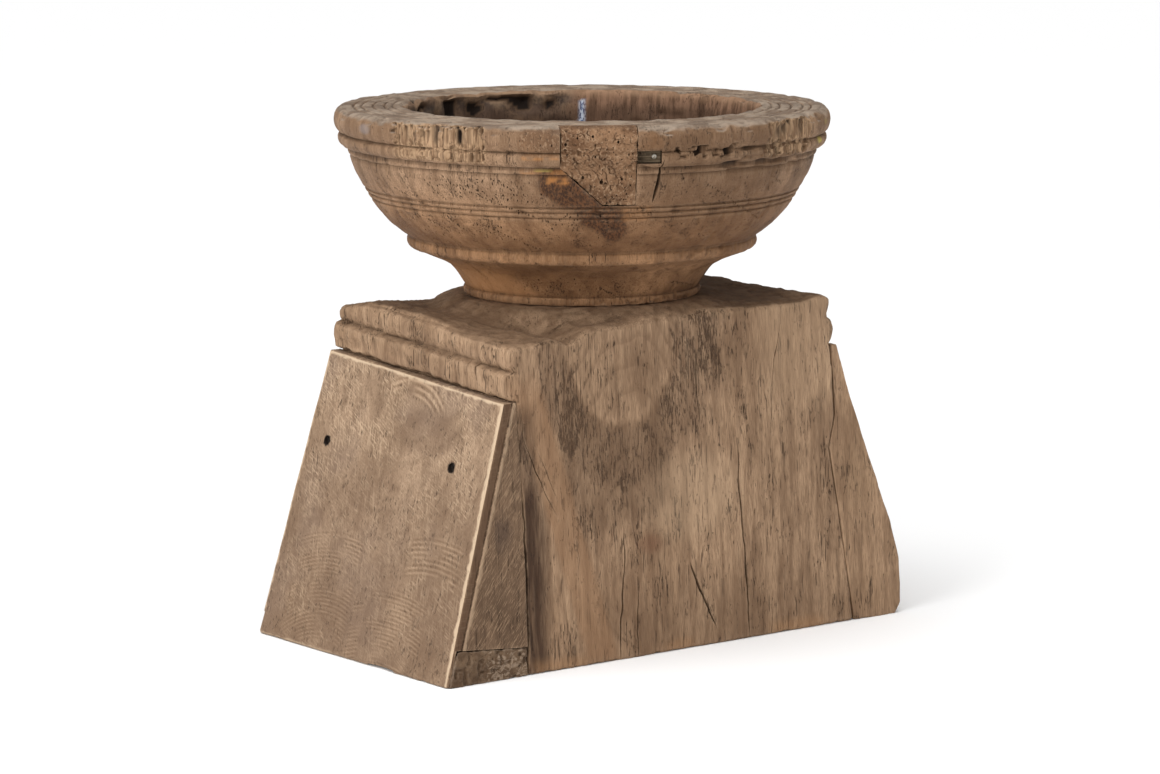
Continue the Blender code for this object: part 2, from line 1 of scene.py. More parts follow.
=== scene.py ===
# %% [markdown]
# # An old turned bowl on a wedge-sided block
#
# The object is 482 mm of weathered hardwood: a turned bowl on a short
# neck, a heavy block under it, and a long wedge against each side of the block. Every piece below
# is shaped around a fixed frame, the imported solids, so that each one lands where it belongs.

# %% Load the frame
import itertools
import math

import bmesh
import bpy
import numpy as np
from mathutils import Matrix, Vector


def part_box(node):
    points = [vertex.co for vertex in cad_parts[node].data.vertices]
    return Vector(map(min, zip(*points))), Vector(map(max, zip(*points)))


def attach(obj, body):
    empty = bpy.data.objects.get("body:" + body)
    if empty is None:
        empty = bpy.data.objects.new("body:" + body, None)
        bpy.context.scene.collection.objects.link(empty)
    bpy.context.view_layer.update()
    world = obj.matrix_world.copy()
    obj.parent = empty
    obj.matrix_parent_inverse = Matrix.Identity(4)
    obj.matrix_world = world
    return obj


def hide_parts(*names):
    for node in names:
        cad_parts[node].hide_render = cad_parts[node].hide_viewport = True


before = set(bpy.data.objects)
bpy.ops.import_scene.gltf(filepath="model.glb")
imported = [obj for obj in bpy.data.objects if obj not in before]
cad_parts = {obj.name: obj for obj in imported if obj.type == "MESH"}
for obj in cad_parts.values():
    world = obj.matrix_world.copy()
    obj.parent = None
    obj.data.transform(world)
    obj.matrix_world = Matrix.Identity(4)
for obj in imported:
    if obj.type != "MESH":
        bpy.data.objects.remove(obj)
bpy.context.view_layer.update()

# %% [markdown]
# ## Camera, light and floor
#
# A long lens from four metres away keeps upright edges nearly parallel, as a product picture does.
# The light is a sky that is brightest on the left, a wide soft sun that keeps the floor white, and
# two panels, a strong one low on the left and a weak one on the right.

# %% Camera
VIEW_AZIMUTH = math.radians(-38.0)
VIEW_DISTANCE = 3.850
VIEW_HEIGHT = 0.823
VIEW_PITCH = 0.1551


def make_camera():
    lens = bpy.data.cameras.new("view")
    lens.sensor_width = 36.0
    lens.lens = 131.2
    lens.shift_x = -0.0017
    camera = bpy.data.objects.new("view", lens)
    bpy.context.scene.collection.objects.link(camera)
    camera.location = (VIEW_DISTANCE * math.sin(VIEW_AZIMUTH), -VIEW_DISTANCE * math.cos(VIEW_AZIMUTH),
                       VIEW_HEIGHT)
    camera.rotation_euler = (math.pi / 2 - VIEW_PITCH, 0.0, VIEW_AZIMUTH)
    return camera


bpy.context.scene.camera = make_camera()
bpy.context.scene.view_settings.view_transform = "Standard"


# %% Lights and floor
def soft_panel(name, place, size, power):
    """A square light that faces the object."""
    panel = bpy.data.lights.new(name, "AREA")
    panel.shape = "SQUARE"
    panel.size = size
    panel.energy = power
    lamp = bpy.data.objects.new(name, panel)
    bpy.context.scene.collection.objects.link(lamp)
    lamp.location = place
    lamp.rotation_euler = (Vector((0.0, 0.0, 0.25)) - Vector(place)).to_track_quat("-Z", "Y").to_euler()
    return lamp


soft_panel("key", (-2.9, -1.0, 1.3), 1.3, 52.0)
soft_panel("fill", (1.8, -3.0, 1.5), 1.8, 14.0)


def soft_sun(strength=1.9):
    """A broad light from high on the left, which falls evenly on the whole floor."""
    sun = bpy.data.lights.new("sun", "SUN")
    sun.energy = strength
    sun.angle = math.radians(50.0)
    lamp = bpy.data.objects.new("sun", sun)
    bpy.context.scene.collection.objects.link(lamp)
    lamp.rotation_euler = Vector((0.20, 0.12, -0.97)).to_track_quat("-Z", "Y").to_euler()


soft_sun()


def make_sky():
    """Bright on the left and dim on the right, so that round shapes turn."""
    sky = bpy.data.worlds.new("sky")
    sky.use_nodes = True
    tree = sky.node_tree
    direction = tree.nodes.new("ShaderNodeTexCoord").outputs["Generated"]
    facing = tree.nodes.new("ShaderNodeVectorMath")
    facing.operation = "DOT_PRODUCT"
    facing.inputs[1].default_value = (-0.90, -0.35, 0.25)
    tree.links.new(direction, facing.inputs[0])
    strength = tree.nodes.new("ShaderNodeMapRange")
    strength.interpolation_type = "SMOOTHSTEP"
    for socket, number in (("From Min", -0.7), ("From Max", 0.8), ("To Min", 0.22), ("To Max", 0.80)):
        strength.inputs[socket].default_value = number
    tree.links.new(facing.outputs["Value"], strength.inputs["Value"])
    tree.nodes["Background"].inputs["Color"].default_value = (1.0, 1.0, 1.0, 1.0)
    tree.links.new(strength.outputs[0], tree.nodes["Background"].inputs["Strength"])
    bpy.context.scene.world = sky


make_sky()


def deselect():
    bpy.ops.object.select_all(action="DESELECT")


def make_floor():
    deselect()
    bpy.ops.mesh.primitive_plane_add(size=60.0)
    floor = bpy.context.object
    floor.name = "floor"
    paint = bpy.data.materials.new("pale_floor")
    paint.use_nodes = True
    shader = paint.node_tree.nodes["Principled BSDF"]
    shader.inputs["Base Color"].default_value = (0.90, 0.90, 0.90, 1.0)
    shader.inputs["Roughness"].default_value = 0.9
    floor.data.materials.append(paint)


make_floor()

# %% [markdown]
# ## How the wood is shaped
#
# A board or block of old wood is a box whose edges are rubbed round and whose faces are split,
# pitted and dished. Bevels alone look machine-made. So each piece starts as a cube that is cut
# into a fine grid, its grid lines crowd together where the shape needs them, and the grid is then
# bent to the real form and pressed in along its normals, the way a sculptor works.


# %% Selecting, cutting and placing
def choose(piece):
    deselect()
    piece.select_set(True)
    bpy.context.view_layer.objects.active = piece


def points_of(piece):
    places = np.empty(len(piece.data.vertices) * 3, np.float32)
    piece.data.vertices.foreach_get("co", places)
    return places.reshape(-1, 3).astype(float)


def move_points(piece, places):
    piece.data.vertices.foreach_set("co", places.astype(np.float32).ravel())
    piece.data.update()


def normals_of(piece):
    normals = np.empty(len(piece.data.vertices) * 3, np.float32)
    piece.data.vertex_normals.foreach_get("vector", normals)
    return normals.reshape(-1, 3).astype(float)


def press(piece, places, wear):
    """Moves the points along their normals by the wear, but not below the floor."""
    places += normals_of(piece) * wear[:, None]
    places[:, 2] = np.maximum(places[:, 2], 0.0)
    move_points(piece, places)


def cut_across(piece, axis, cuts):
    """Divides every edge that runs along one axis, which adds that many loops round the piece."""
    bpy.ops.object.mode_set(mode="EDIT")
    bpy.ops.mesh.select_mode(type="EDGE")
    bpy.ops.mesh.select_all(action="DESELECT")
    shell = bmesh.from_edit_mesh(piece.data)
    for edge in shell.edges:
        edge.select_set(abs(edge.verts[0].co[axis] - edge.verts[1].co[axis]) > 1e-6)
    bmesh.update_edit_mesh(piece.data)
    bpy.ops.mesh.subdivide(number_cuts=cuts)
    bpy.ops.object.mode_set(mode="OBJECT")


def gridded_cube(name, columns, layers, rows):
    """A unit cube cut into columns along X, layers along Y and rows along Z. Each count is a pair
    of numbers that are multiplied, because one subdivide makes at most a hundred cuts."""
    deselect()
    bpy.ops.mesh.primitive_cube_add(size=1.0)
    piece = bpy.context.object
    piece.name = name
    for axis, counts in enumerate((columns, layers, rows)):
        for count in counts:
            if count > 1:
                cut_across(piece, axis, count - 1)
    return piece


def spread(low, high, count, crowded=()):
    """Grid lines from low to high, closer together near each crowded (place, reach, strength)."""
    fine = np.linspace(low, high, 4001)
    density = np.ones_like(fine)
    for place, reach, strength in crowded:
        density += strength * np.exp(-((fine - place) / reach) ** 2)
    total = np.cumsum(density)
    total = (total - total[0]) / (total[-1] - total[0])
    return np.interp(np.linspace(0.0, 1.0, count + 1), total, fine)


def laid_out(piece, *lines):
    """The piece's points with its even grid moved to the given grid lines along X, Y and Z."""
    places = points_of(piece) + 0.5
    for axis, line in enumerate(lines):
        places[:, axis] = np.interp(places[:, axis], np.linspace(0.0, 1.0, len(line)), line)
    return places


def rubbed_round(places, low, high, radius):
    """Rounds the edges of a box: points near an edge are pulled onto an arc."""
    low, high = np.asarray(low, float), np.asarray(high, float)
    radius = np.broadcast_to(radius, len(places))[:, None]
    inner = np.clip(places, low + radius, high - radius)
    away = places - inner
    length = np.linalg.norm(away, axis=1, keepdims=True)
    return np.where(length > 0.0, inner + away / np.maximum(length, 1e-9) * radius, places)


# %% Repeatable unevenness
def noise(places, size, seed):
    """Smooth noise from -1 to 1. Its bumps measure size, one number or (x, y, z)."""
    place = places / np.asarray(size, float) + 500.0
    cell = np.floor(place).astype(np.int64)
    inside = place - cell
    inside = inside * inside * (3.0 - 2.0 * inside)
    total = np.zeros(len(places))
    for corner in itertools.product((0, 1), repeat=3):
        key = (cell + corner) @ np.array((73856093, 19349663, 83492791)) + seed * 961748941
        key = ((key ^ (key >> 13)) * 1274126177) & 0xFFFFFFFF
        value = ((key ^ (key >> 16)) & 0xFFFF) / 32767.5 - 1.0
        total += value * np.prod(np.where(corner, inside, 1.0 - inside), axis=1)
    return total


def rough(places, size, seed, octaves=3):
    """Noise with finer noise laid over it."""
    size = np.asarray(size, float)
    return sum(noise(places, size / 2 ** i, seed + i) / 2 ** i for i in range(octaves))


def rise(values, start, end):
    """0 before start, 1 after end, and smooth between them."""
    share = np.clip((values - start) / (end - start), 0.0, 1.0)
    return share * share * (3.0 - 2.0 * share)


def between(values, low, high, soft):
    """1 from low to high, fading to 0 over soft on each side."""
    return rise(values, low - soft, low) * (1.0 - rise(values, high, high + soft))


def window(across, up, limits, high_limits):
    """1 in a rectangle, fading to 0 round it. Each limit is (low, high, soft)."""
    return between(across, *limits) * between(up, *high_limits)


def spot(across, up, centre, size, start, end):
    """1 in the middle of an oval and 0 outside it, fading from start to end of its size."""
    return 1.0 - rise(np.hypot((across - centre[0]) / size[0], (up - centre[1]) / size[1]), start, end)


def strongest(*layers):
    """The highest of several layers at each point."""
    highest = layers[0]
    for layer in layers[1:]:
        highest = np.maximum(highest, layer)
    return highest


# %% Marks for the finish
def mark(piece, name, values):
    """Stores one number a point, which the piece's material can read."""
    layer = piece.data.attributes.new(name, "FLOAT", "POINT")
    layer.data.foreach_set("value", np.clip(values, 0.0, 1.0).astype(np.float32))


def mark_relief(piece, gain=3.0):
    """Marks how hollow and how proud each point lies beside its neighbours, from 0 to 1."""
    places, normals = points_of(piece), normals_of(piece)
    ends = np.empty(len(piece.data.edges) * 2, np.int32)
    piece.data.edges.foreach_get("vertices", ends)
    ends = ends.reshape(-1, 2)
    slope = np.zeros(len(places))
    count = np.zeros(len(places))
    for here, there in ((ends[:, 0], ends[:, 1]), (ends[:, 1], ends[:, 0])):
        step = places[there] - places[here]
        length = np.maximum(np.linalg.norm(step, axis=1), 1e-7)
        np.add.at(slope, here, np.einsum("ij,ij->i", step, normals[here]) / length)
        np.add.at(count, here, 1.0)
    slope /= np.maximum(count, 1.0)
    for _ in range(2):
        total = np.zeros(len(places))
        np.add.at(total, ends[:, 0], slope[ends[:, 1]])
        np.add.at(total, ends[:, 1], slope[ends[:, 0]])
        slope = 0.5 * slope + 0.5 * total / np.maximum(count, 1.0)
    mark(piece, "hollow", slope * gain)
    mark(piece, "proud", -slope * gain)


def show(piece, node, material):
    """Finishes a piece: its material, its smooth shading, attaching it to the root, hiding the frame's solid
    and printing its face count.
    """
    piece.data.materials.clear()
    piece.data.materials.append(material)
    choose(piece)
    bpy.ops.object.shade_smooth_by_angle(angle=math.radians(50.0))
    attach(piece, "root")
    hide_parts(node)
    print(piece.name, "has", len(piece.data.polygons), "faces")

# %% [markdown]
# ## How the wood is coloured
#
# The colour of a solid block of wood runs through it. So the patterns are made in three dimensions
# from the Object coordinates: rings round a leaning pith, and pores stretched along the fibres. The
# marks stored on each piece add stains and wear, darker hollows, pale proud edges that are rubbed wood
# and a painted highlight, and painted near-black shade deep inside cracks and holes.


# %% Building a finish
class Finish:
    """One node material, built up step by step."""

    def __init__(self, name, roughness):
        self.material = bpy.data.materials.new(name)
        self.material.use_nodes = True
        self.tree = self.material.node_tree
        self.shader = self.tree.nodes["Principled BSDF"]
        self.shader.inputs["Roughness"].default_value = roughness
        self.shader.inputs["Specular IOR Level"].default_value = 0.22
        self.place = self.tree.nodes.new("ShaderNodeTexCoord").outputs["Object"]

    def join(self, source, socket):
        if isinstance(source, bpy.types.NodeSocket):
            self.tree.links.new(source, socket)
        else:
            socket.default_value = source

    def maths(self, operation, first, second=0.0):
        node = self.tree.nodes.new("ShaderNodeMath")
        node.operation = operation
        self.join(first, node.inputs[0])
        self.join(second, node.inputs[1])
        return node.outputs[0]

    def stretched(self, scale, turn=(0.0, 0.0, 0.0), source=None):
        """Coordinates that are turned, then multiplied along each axis."""
        turned = self.tree.nodes.new("ShaderNodeMapping")
        turned.inputs["Rotation"].default_value = turn
        self.join(source or self.place, turned.inputs["Vector"])
        scaled = self.tree.nodes.new("ShaderNodeMapping")
        scaled.inputs["Scale"].default_value = scale
        self.join(turned.outputs[0], scaled.inputs["Vector"])
        return scaled.outputs[0]

    def distance_from_axis(self, centre, turn):
        """Distance from an upright axis through a centre, leaning as the turn says."""
        moved = self.tree.nodes.new("ShaderNodeVectorMath")
        moved.operation = "SUBTRACT"
        self.join(self.place, moved.inputs[0])
        moved.inputs[1].default_value = centre
        place = self.stretched((1.0, 1.0, 0.0), turn, moved.outputs[0])
        length = self.tree.nodes.new("ShaderNodeVectorMath")
        length.operation = "LENGTH"
        self.join(place, length.inputs[0])
        return length.outputs["Value"]

    def pattern(self, scale, detail=3.0, roughness=0.55, distortion=0.0, turn=(0.0, 0.0, 0.0)):
        """A cloudy pattern, drawn out along the axes whose scale is low."""
        node = self.tree.nodes.new("ShaderNodeTexNoise")
        self.join(self.stretched(scale, turn), node.inputs["Vector"])
        node.inputs["Scale"].default_value = 1.0
        node.inputs["Detail"].default_value = detail
        node.inputs["Roughness"].default_value = roughness
        node.inputs["Distortion"].default_value = distortion
        return node.outputs["Fac"]

    def fade(self, value, start, end, low=0.0, high=1.0):
        """Smoothly from low to high while value goes from start to end."""
        node = self.tree.nodes.new("ShaderNodeMapRange")
        node.interpolation_type = "SMOOTHSTEP"
        self.join(value, node.inputs["Value"])
        for socket, number in (("From Min", start), ("From Max", end), ("To Min", low), ("To Max", high)):
            self.join(number, node.inputs[socket])
        return node.outputs[0]

    def mix(self, share, first, second, blend="MIX"):
        node = self.tree.nodes.new("ShaderNodeMix")
        node.data_type = "RGBA"
        node.blend_type = blend
        self.join(share, node.inputs[0])
        for tone, socket in ((first, node.inputs[6]), (second, node.inputs[7])):
            self.join((*tone, 1.0) if isinstance(tone, tuple) else tone, socket)
        return node.outputs[2]

    def mark(self, name):
        node = self.tree.nodes.new("ShaderNodeAttribute")
        node.attribute_name = name
        return node.outputs["Fac"]

    def tinted(self, colour, *tints):
        """Lays tones over a colour, each given as (mark, strength, tone)."""
        for name, strength, tone in tints:
            colour = self.mix(self.maths("MULTIPLY", self.mark(name), strength), colour, tone)
        return colour

    def bump(self, height, distance):
        node = self.tree.nodes.new("ShaderNodeBump")
        node.inputs["Distance"].default_value = distance
        self.join(height, node.inputs["Height"])
        return node.outputs[0]

    def done(self, colour, normal):
        self.join(colour, self.shader.inputs["Base Color"])
        self.join(normal, self.shader.inputs["Normal"])
        return self.material


# %% The tones of the wood
PALE = (0.48, 0.335, 0.215)
TAN = (0.345, 0.222, 0.135)
BROWN = (0.150, 0.083, 0.044)
DEEP = (0.040, 0.020, 0.009)


# %% Solid wood with rings and pores, darker hollows, pale edges and painted crack shade
def solid_wood(finish, tones, pith, lean, ring_gap, pore_limits=(0.60, 0.67), dense=0.0):
    """Colour and height of weathered wood: returns (colour, normal) before any local stain."""
    light, middle, shade = tones
    broad = finish.pattern((10.0, 10.0, 6.0), 3.0)
    patchy = finish.pattern((42.0, 42.0, 13.0), 3.0, 0.6)
    streak = finish.pattern((110.0, 110.0, 7.0), 3.0, 0.6)
    colour = finish.mix(finish.fade(broad, 0.36, 0.64), middle, light)
    colour = finish.mix(finish.fade(patchy, 0.42, 0.66, 0.0, 0.55), colour, shade)
    colour = finish.mix(finish.fade(streak, 0.45, 0.70, 0.0, 0.55), colour, shade)

    warp = finish.maths("MULTIPLY", finish.pattern((14.0, 14.0, 5.0), 2.0),
                        ring_gap * 3.2)
    radius = finish.maths("ADD", finish.distance_from_axis(pith, lean), warp)
    turn = finish.maths("FRACT", finish.maths("DIVIDE", radius, ring_gap))
    ring = finish.maths("MULTIPLY", finish.fade(turn, 0.0, 0.08), finish.fade(turn, 0.12, 0.45, 1.0, 0.0))
    colour = finish.mix(finish.maths("MULTIPLY", ring, 0.30), colour, shade)

    fine = finish.pattern((1500.0, 1500.0, 75.0), 2.0, 0.6)
    hair = finish.pattern((640.0, 640.0, 22.0), 2.0, 0.5)
    pores = finish.pattern((880.0, 880.0, 140.0), 2.5, 0.6)
    cluster = finish.pattern((55.0, 55.0, 26.0), 3.0, 0.6)
    crowd = finish.maths("ADD", finish.maths("MULTIPLY", ring, 0.045),
                         finish.fade(cluster, 0.40, 0.68, -0.085, 0.050))
    crowd = finish.maths("ADD", crowd, dense)
    pore = finish.fade(finish.maths("ADD", pores, crowd), *pore_limits)
    line = finish.fade(finish.maths("ADD", hair, finish.maths("MULTIPLY", crowd, 0.5)), 0.63, 0.69)
    colour = finish.mix(finish.fade(fine, 0.40, 0.66, 0.0, 0.60), colour, shade)
    colour = finish.mix(finish.maths("MULTIPLY", line, 0.70), colour, DEEP)
    colour = finish.mix(finish.maths("MULTIPLY", pore, 0.88), colour, DEEP)

    height = finish.maths("SUBTRACT", finish.maths("MULTIPLY", fine, 0.45), pore)
    height = finish.maths("SUBTRACT", height, finish.maths("MULTIPLY", line, 0.6))
    normal = finish.bump(height, 0.0014)
    return colour, normal


def aged(finish, colour, hollow_darkening=0.9, worn=0.55, pale=PALE):
    """Darker in the hollows; paler on the proud edges, as rubbed wood and a painted highlight; painted
    near-black shade deep inside cracks and holes.
    """
    patchy = finish.pattern((55.0, 55.0, 40.0), 3.0, 0.65)
    rubbed = finish.maths("MULTIPLY", finish.mark("proud"), finish.fade(patchy, 0.36, 0.62, 0.25, 1.0))
    colour = finish.mix(finish.maths("MULTIPLY", rubbed, worn), colour, pale)
    colour = finish.mix(finish.maths("MULTIPLY", finish.mark("hollow"), hollow_darkening), colour, DEEP)
    return finish.mix(finish.mark("deep"), colour, (0.012, 0.006, 0.003))


# %% [markdown]
# ## The block
#
# On the real object the block is one squared log with its fibres upright. Its left and right ends
# carry a moulding of two beads, its top has sunk and worn towards the front left corner, and its
# front shows the arches of the rings, rows of open pores and a few long drying cracks. A finely cut
# cube takes all of that; the cracks are cut by thin blades, since a crack has sharp, deep sides.

# %% The block's sizes
BLOCK_SIDE = 0.182
LIP_BASE = 0.261
LIP_STEP = 0.025
FLAT_TOP = 0.300
TENON_LENGTH = 0.060
SEAT_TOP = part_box("bowl")[0].z + TENON_LENGTH + 0.0003 - 0.0006
SOCKET_RADIUS = 0.0453
HALF_DEPTH = 0.135
FRONT_FOOT = 0.150
BACK_FOOT = 0.1445
FRONT_BATTER = 0.050
BACK_BATTER = 0.064
FRONT_SINK = 0.0185
BACK_SINK = 0.001
LIFT_START = 0.235
SEAM_HEIGHTS = (0.0, 0.09, 0.165, 0.194, 0.263, 0.31)
RIGHT_SEAM_SHIFT = (0.0230, 0.0100, -0.0026, 0.0050, 0.0020, 0.0)
LEFT_SEAM_SHIFT = (0.0060, 0.0060, 0.0045, 0.0040, 0.0, 0.0)
FRONT_TOP_EDGE = ((-0.187, 0.2881), (-0.168, 0.2908), (-0.146, 0.2950), (-0.121, 0.2866), (-0.096, 0.2976),
                  (-0.062, 0.2991), (0.018, 0.2967), (0.044, 0.3035), (0.149, 0.3039), (0.168, 0.3075),
                  (0.190, 0.3060))
LEFT_TOP_EDGE = ((-0.136, 0.2884), (-0.096, 0.2925), (-0.051, 0.2964), (-0.006, 0.3021), (0.024, 0.3042),
                 (0.087, 0.3056), (0.117, 0.3005), (0.130, 0.2960))
BACK_TOP_EDGE = ((-0.182, 0.2990), (-0.166, 0.3014), (-0.124, 0.2988), (-0.080, 0.2965), (-0.063, 0.3010),
                 (-0.033, 0.3045), (0.030, 0.3095), (0.075, 0.3108), (0.130, 0.3090), (0.182, 0.3070))


def face_at(z, front):
    """Distance of the front or back face from the bowl's axis at height z."""
    return np.where(front, FRONT_FOOT - FRONT_BATTER * z, BACK_FOOT - BACK_BATTER * z)


def along(edge, place):
    """The height of an edge, read between its (place, height) points."""
    return np.interp(place, *zip(*edge))


def right_seam(z):
    return BLOCK_SIDE + np.interp(z, SEAM_HEIGHTS, RIGHT_SEAM_SHIFT)


def left_seam(z):
    return -BLOCK_SIDE + np.interp(z, SEAM_HEIGHTS, LEFT_SEAM_SHIFT)


def block_top(x, y):
    """Height of the worn top: its front, back and left edges, and the seat round the foot."""
    depth = rise(y, -0.137, 0.128)
    level = (1 - depth) * along(FRONT_TOP_EDGE, x) + depth * along(BACK_TOP_EDGE, x)
    near_left = 1.0 - rise(x, -0.182, -0.120)
    level = near_left * along(LEFT_TOP_EDGE, y) + (1 - near_left) * level
    seat = 1.0 - rise(np.hypot(x, y), 0.112, 0.150)
    return seat * SEAT_TOP + (1 - seat) * level


def bead(z, base, height, proud, fullness=2.0):
    """How far a bead stands out at height z. It is round, or squarer where fullness is above 2."""
    share = np.clip((z - base) / height, 0.0, 1.0)
    rounded = np.maximum(0.0, 1.0 - np.abs(2.0 * share - 1.0) ** fullness) ** (1.0 / fullness)
    return proud * rounded * (share > 0) * (share < 1)


# %% Shaping the block
block = gridded_cube("old_block", (12, 19), (7, 8), (11, 10))
columns = spread(-BLOCK_SIDE, BLOCK_SIDE, 228, ((-BLOCK_SIDE, 0.006, 2.0), (BLOCK_SIDE, 0.006, 2.0)))
layers = spread(-1.0, 1.0, 56, ((-1.0, 0.05, 3.0), (1.0, 0.05, 2.0)))
rows = spread(0.0, FLAT_TOP, 110, ((FLAT_TOP, 0.010, 2.0), (0.255, 0.030, 0.9), (0.0, 0.006, 1.5)))
places = laid_out(block, columns, layers * HALF_DEPTH, rows)
unevenness = 0.5 + 0.5 * noise(places, 0.03, 11)
radius = 0.0016 + 0.0022 * unevenness
radius = np.where(places[:, 2] > 0.24, radius + 0.0020, radius + 0.0010 * (places[:, 2] < 0.02))
places = rubbed_round(places, (-BLOCK_SIDE, -HALF_DEPTH, 0.0), (BLOCK_SIDE, HALF_DEPTH, FLAT_TOP), radius)

share_y = places[:, 1] / HALF_DEPTH
lift = np.clip((places[:, 2] - LIFT_START) / (FLAT_TOP - LIFT_START), 0.0, 1.0)
front = share_y < 0
flat_y = share_y * face_at(places[:, 2], front)
top = block_top(places[:, 0], flat_y) + 0.0009 * rough(places, (0.05, 0.03, 1.0), 21)
z = places[:, 2] + lift * (top - FLAT_TOP)
side = np.where(places[:, 0] > 0, right_seam(z), -left_seam(z))
x = places[:, 0] * (side / BLOCK_SIDE)
y = share_y * face_at(z, front)
places = np.stack((x, y, z), axis=1)

# the two beads on the left and right ends
front_at, back_at = face_at(z, True), face_at(z, False)
drop = np.where(x < 0, FRONT_SINK + (BACK_SINK - FRONT_SINK) * (y + front_at) / (front_at + back_at), 0.0)
base = LIP_BASE - drop
on_end = rise(np.abs(x), BLOCK_SIDE - 0.006, BLOCK_SIDE - 0.001)
torn = 0.5 + 0.5 * noise(places, (1.0, 0.030, 0.020), 31)
lower_proud = np.where(x < 0, 0.0080 + 0.0015 * rise(y, -0.09, 0.10), 0.0085)
fullness = np.where(x < 0, 4.5, 2.0)
upper_proud = 0.0034 + 0.0012 * torn
out = bead(z, base, LIP_STEP, lower_proud, fullness) + bead(z, base + LIP_STEP + 0.001, 0.0215, upper_proud)
places[:, 0] += np.sign(x) * on_end * out
move_points(block, places)

# wear, pressed in along the normals
normals = normals_of(block)
x, y, z = places.T
wear = 0.0007 * rough(places, (0.060, 0.060, 0.080), 41) + 0.00035 * rough(places, (0.004, 0.004, 0.050), 45)
split = np.clip(noise(places, (0.0030, 0.0030, 0.024), 51) - 0.30, 0.0, 1.0)
wear -= 0.0010 * split
on_lip = on_end * rise(z, base - 0.004, base + 0.002)
wear -= on_lip * 0.0022 * np.clip(noise(places, (1.0, 0.0045, 0.016), 61) + 0.1, 0.0, 1.0)
wear -= on_lip * 0.0030 * np.clip(noise(places, (1.0, 0.016, 0.014), 63) - 0.2, 0.0, 1.0)
flat_on_top = rise(normals[:, 2], 0.6, 0.9)
wear += flat_on_top * 0.0008 * rough(places, (0.018, 0.008, 0.1), 71)
press(block, places, wear)
print("block shaped:", len(places), "points")

# %% [markdown]
# ### Cracks
#
# A drying crack is a thin wedge of air. Each blade below is such a wedge: it follows a wandering
# line on the surface, is widest in the middle, and tapers to nothing at both ends. All blades are
# joined into one cutter, so that a single Boolean cuts them.

# %% Cutting cracks
def blade(route, outward, width, depth, seed, wander=0.0008, steps=26):
    """A closed sliver along a route on the surface; outward is the surface's direction there."""
    route = np.asarray(route, float)
    lengths = np.concatenate(([0.0], np.cumsum(np.linalg.norm(np.diff(route, axis=0), axis=1))))
    t = np.linspace(0.0, 1.0, steps)
    line = np.stack([np.interp(t * lengths[-1], lengths, route[:, i]) for i in range(3)], axis=1)
    outward = np.asarray(outward, float) / np.linalg.norm(outward)
    run = (route[-1] - route[0]) / np.linalg.norm(route[-1] - route[0])
    across = np.cross(outward, run)
    line += across * (wander * rough(line, (0.009, 0.009, 0.012), seed))[:, None]
    half = 0.5 * width * (0.25 + 0.75 * np.sin(np.pi * t) ** 0.5) * (0.8 + 0.4 * noise(line, 0.02, seed + 5))
    half[0] = half[-1] = width * 0.06
    deep = depth * (0.15 + 0.85 * np.sin(np.pi * t) ** 0.6)
    proud = 0.004
    corners = []
    for i in range(steps):
        mouth = line[i] + outward * proud
        corners += [mouth + across * half[i], mouth - across * half[i], line[i] - outward * deep[i]]
    faces = [(0, 1, 2), tuple(3 * (steps - 1) + k for k in (2, 1, 0))]
    for i in range(steps - 1):
        for k in range(3):
            a, b = 3 * i + k, 3 * i + (k + 1) % 3
            faces.append((a, a + 3, b + 3, b))
    return corners, faces


def cutter_of(name, solids):
    """Joins closed shapes, given as (points, faces), into one cutter that is never shown."""
    points, faces = [], []
    for solid_points, solid_faces in solids:
        faces += [tuple(i + len(points) for i in face) for face in solid_faces]
        points += [tuple(p) for p in solid_points]
    mesh = bpy.data.meshes.new(name)
    mesh.from_pydata(points, [], faces)
    cutter = bpy.data.objects.new(name, mesh)
    bpy.context.scene.collection.objects.link(cutter)
    choose(cutter)
    bpy.ops.object.mode_set(mode="EDIT")
    bpy.ops.mesh.select_all(action="SELECT")
    bpy.ops.mesh.normals_make_consistent(inside=False)
    bpy.ops.object.mode_set(mode="OBJECT")
    return cutter


def prism(front, back):
    """A closed solid between two outlines with as many corners, as (points, faces)."""
    count = len(front)
    faces = [tuple(range(count)), tuple(reversed(range(count, 2 * count)))]
    faces += [(i, i + count, (i + 1) % count + count, (i + 1) % count) for i in range(count)]
    return front + back, faces


def rod(name, radius, start, end, sides=48):
    """A round cutter between two points."""
    start, end = Vector(start), Vector(end)
    deselect()
    bpy.ops.mesh.primitive_cylinder_add(vertices=sides, radius=radius, depth=(end - start).length,
                                        location=(start + end) / 2)
    bpy.context.object.rotation_mode = "QUATERNION"
    bpy.context.object.rotation_quaternion = Vector((0, 0, 1)).rotation_difference(end - start)
    bpy.context.object.name = name
    return bpy.context.object


def cut(piece, cutter):
    """Cuts one shape out of a piece and removes the cutter."""
    choose(piece)
    step = piece.modifiers.new("cut", "BOOLEAN")
    step.operation = "DIFFERENCE"
    step.solver = "MANIFOLD"
    step.object = cutter
    before = len(piece.data.vertices)
    bpy.ops.object.modifier_apply(modifier=step.name)
    print("cut", cutter.name, "from", piece.name, before, "->", len(piece.data.vertices), "points")
    bpy.data.objects.remove(cutter, do_unlink=True)


# %% The block's cracks
def on_front(x, z):
    return (x, -(FRONT_FOOT - FRONT_BATTER * z), z)


def front_crack(places, width, depth, seed):
    return blade([on_front(*place) for place in places], (0.0, -1.0, 0.0), width, depth, seed)


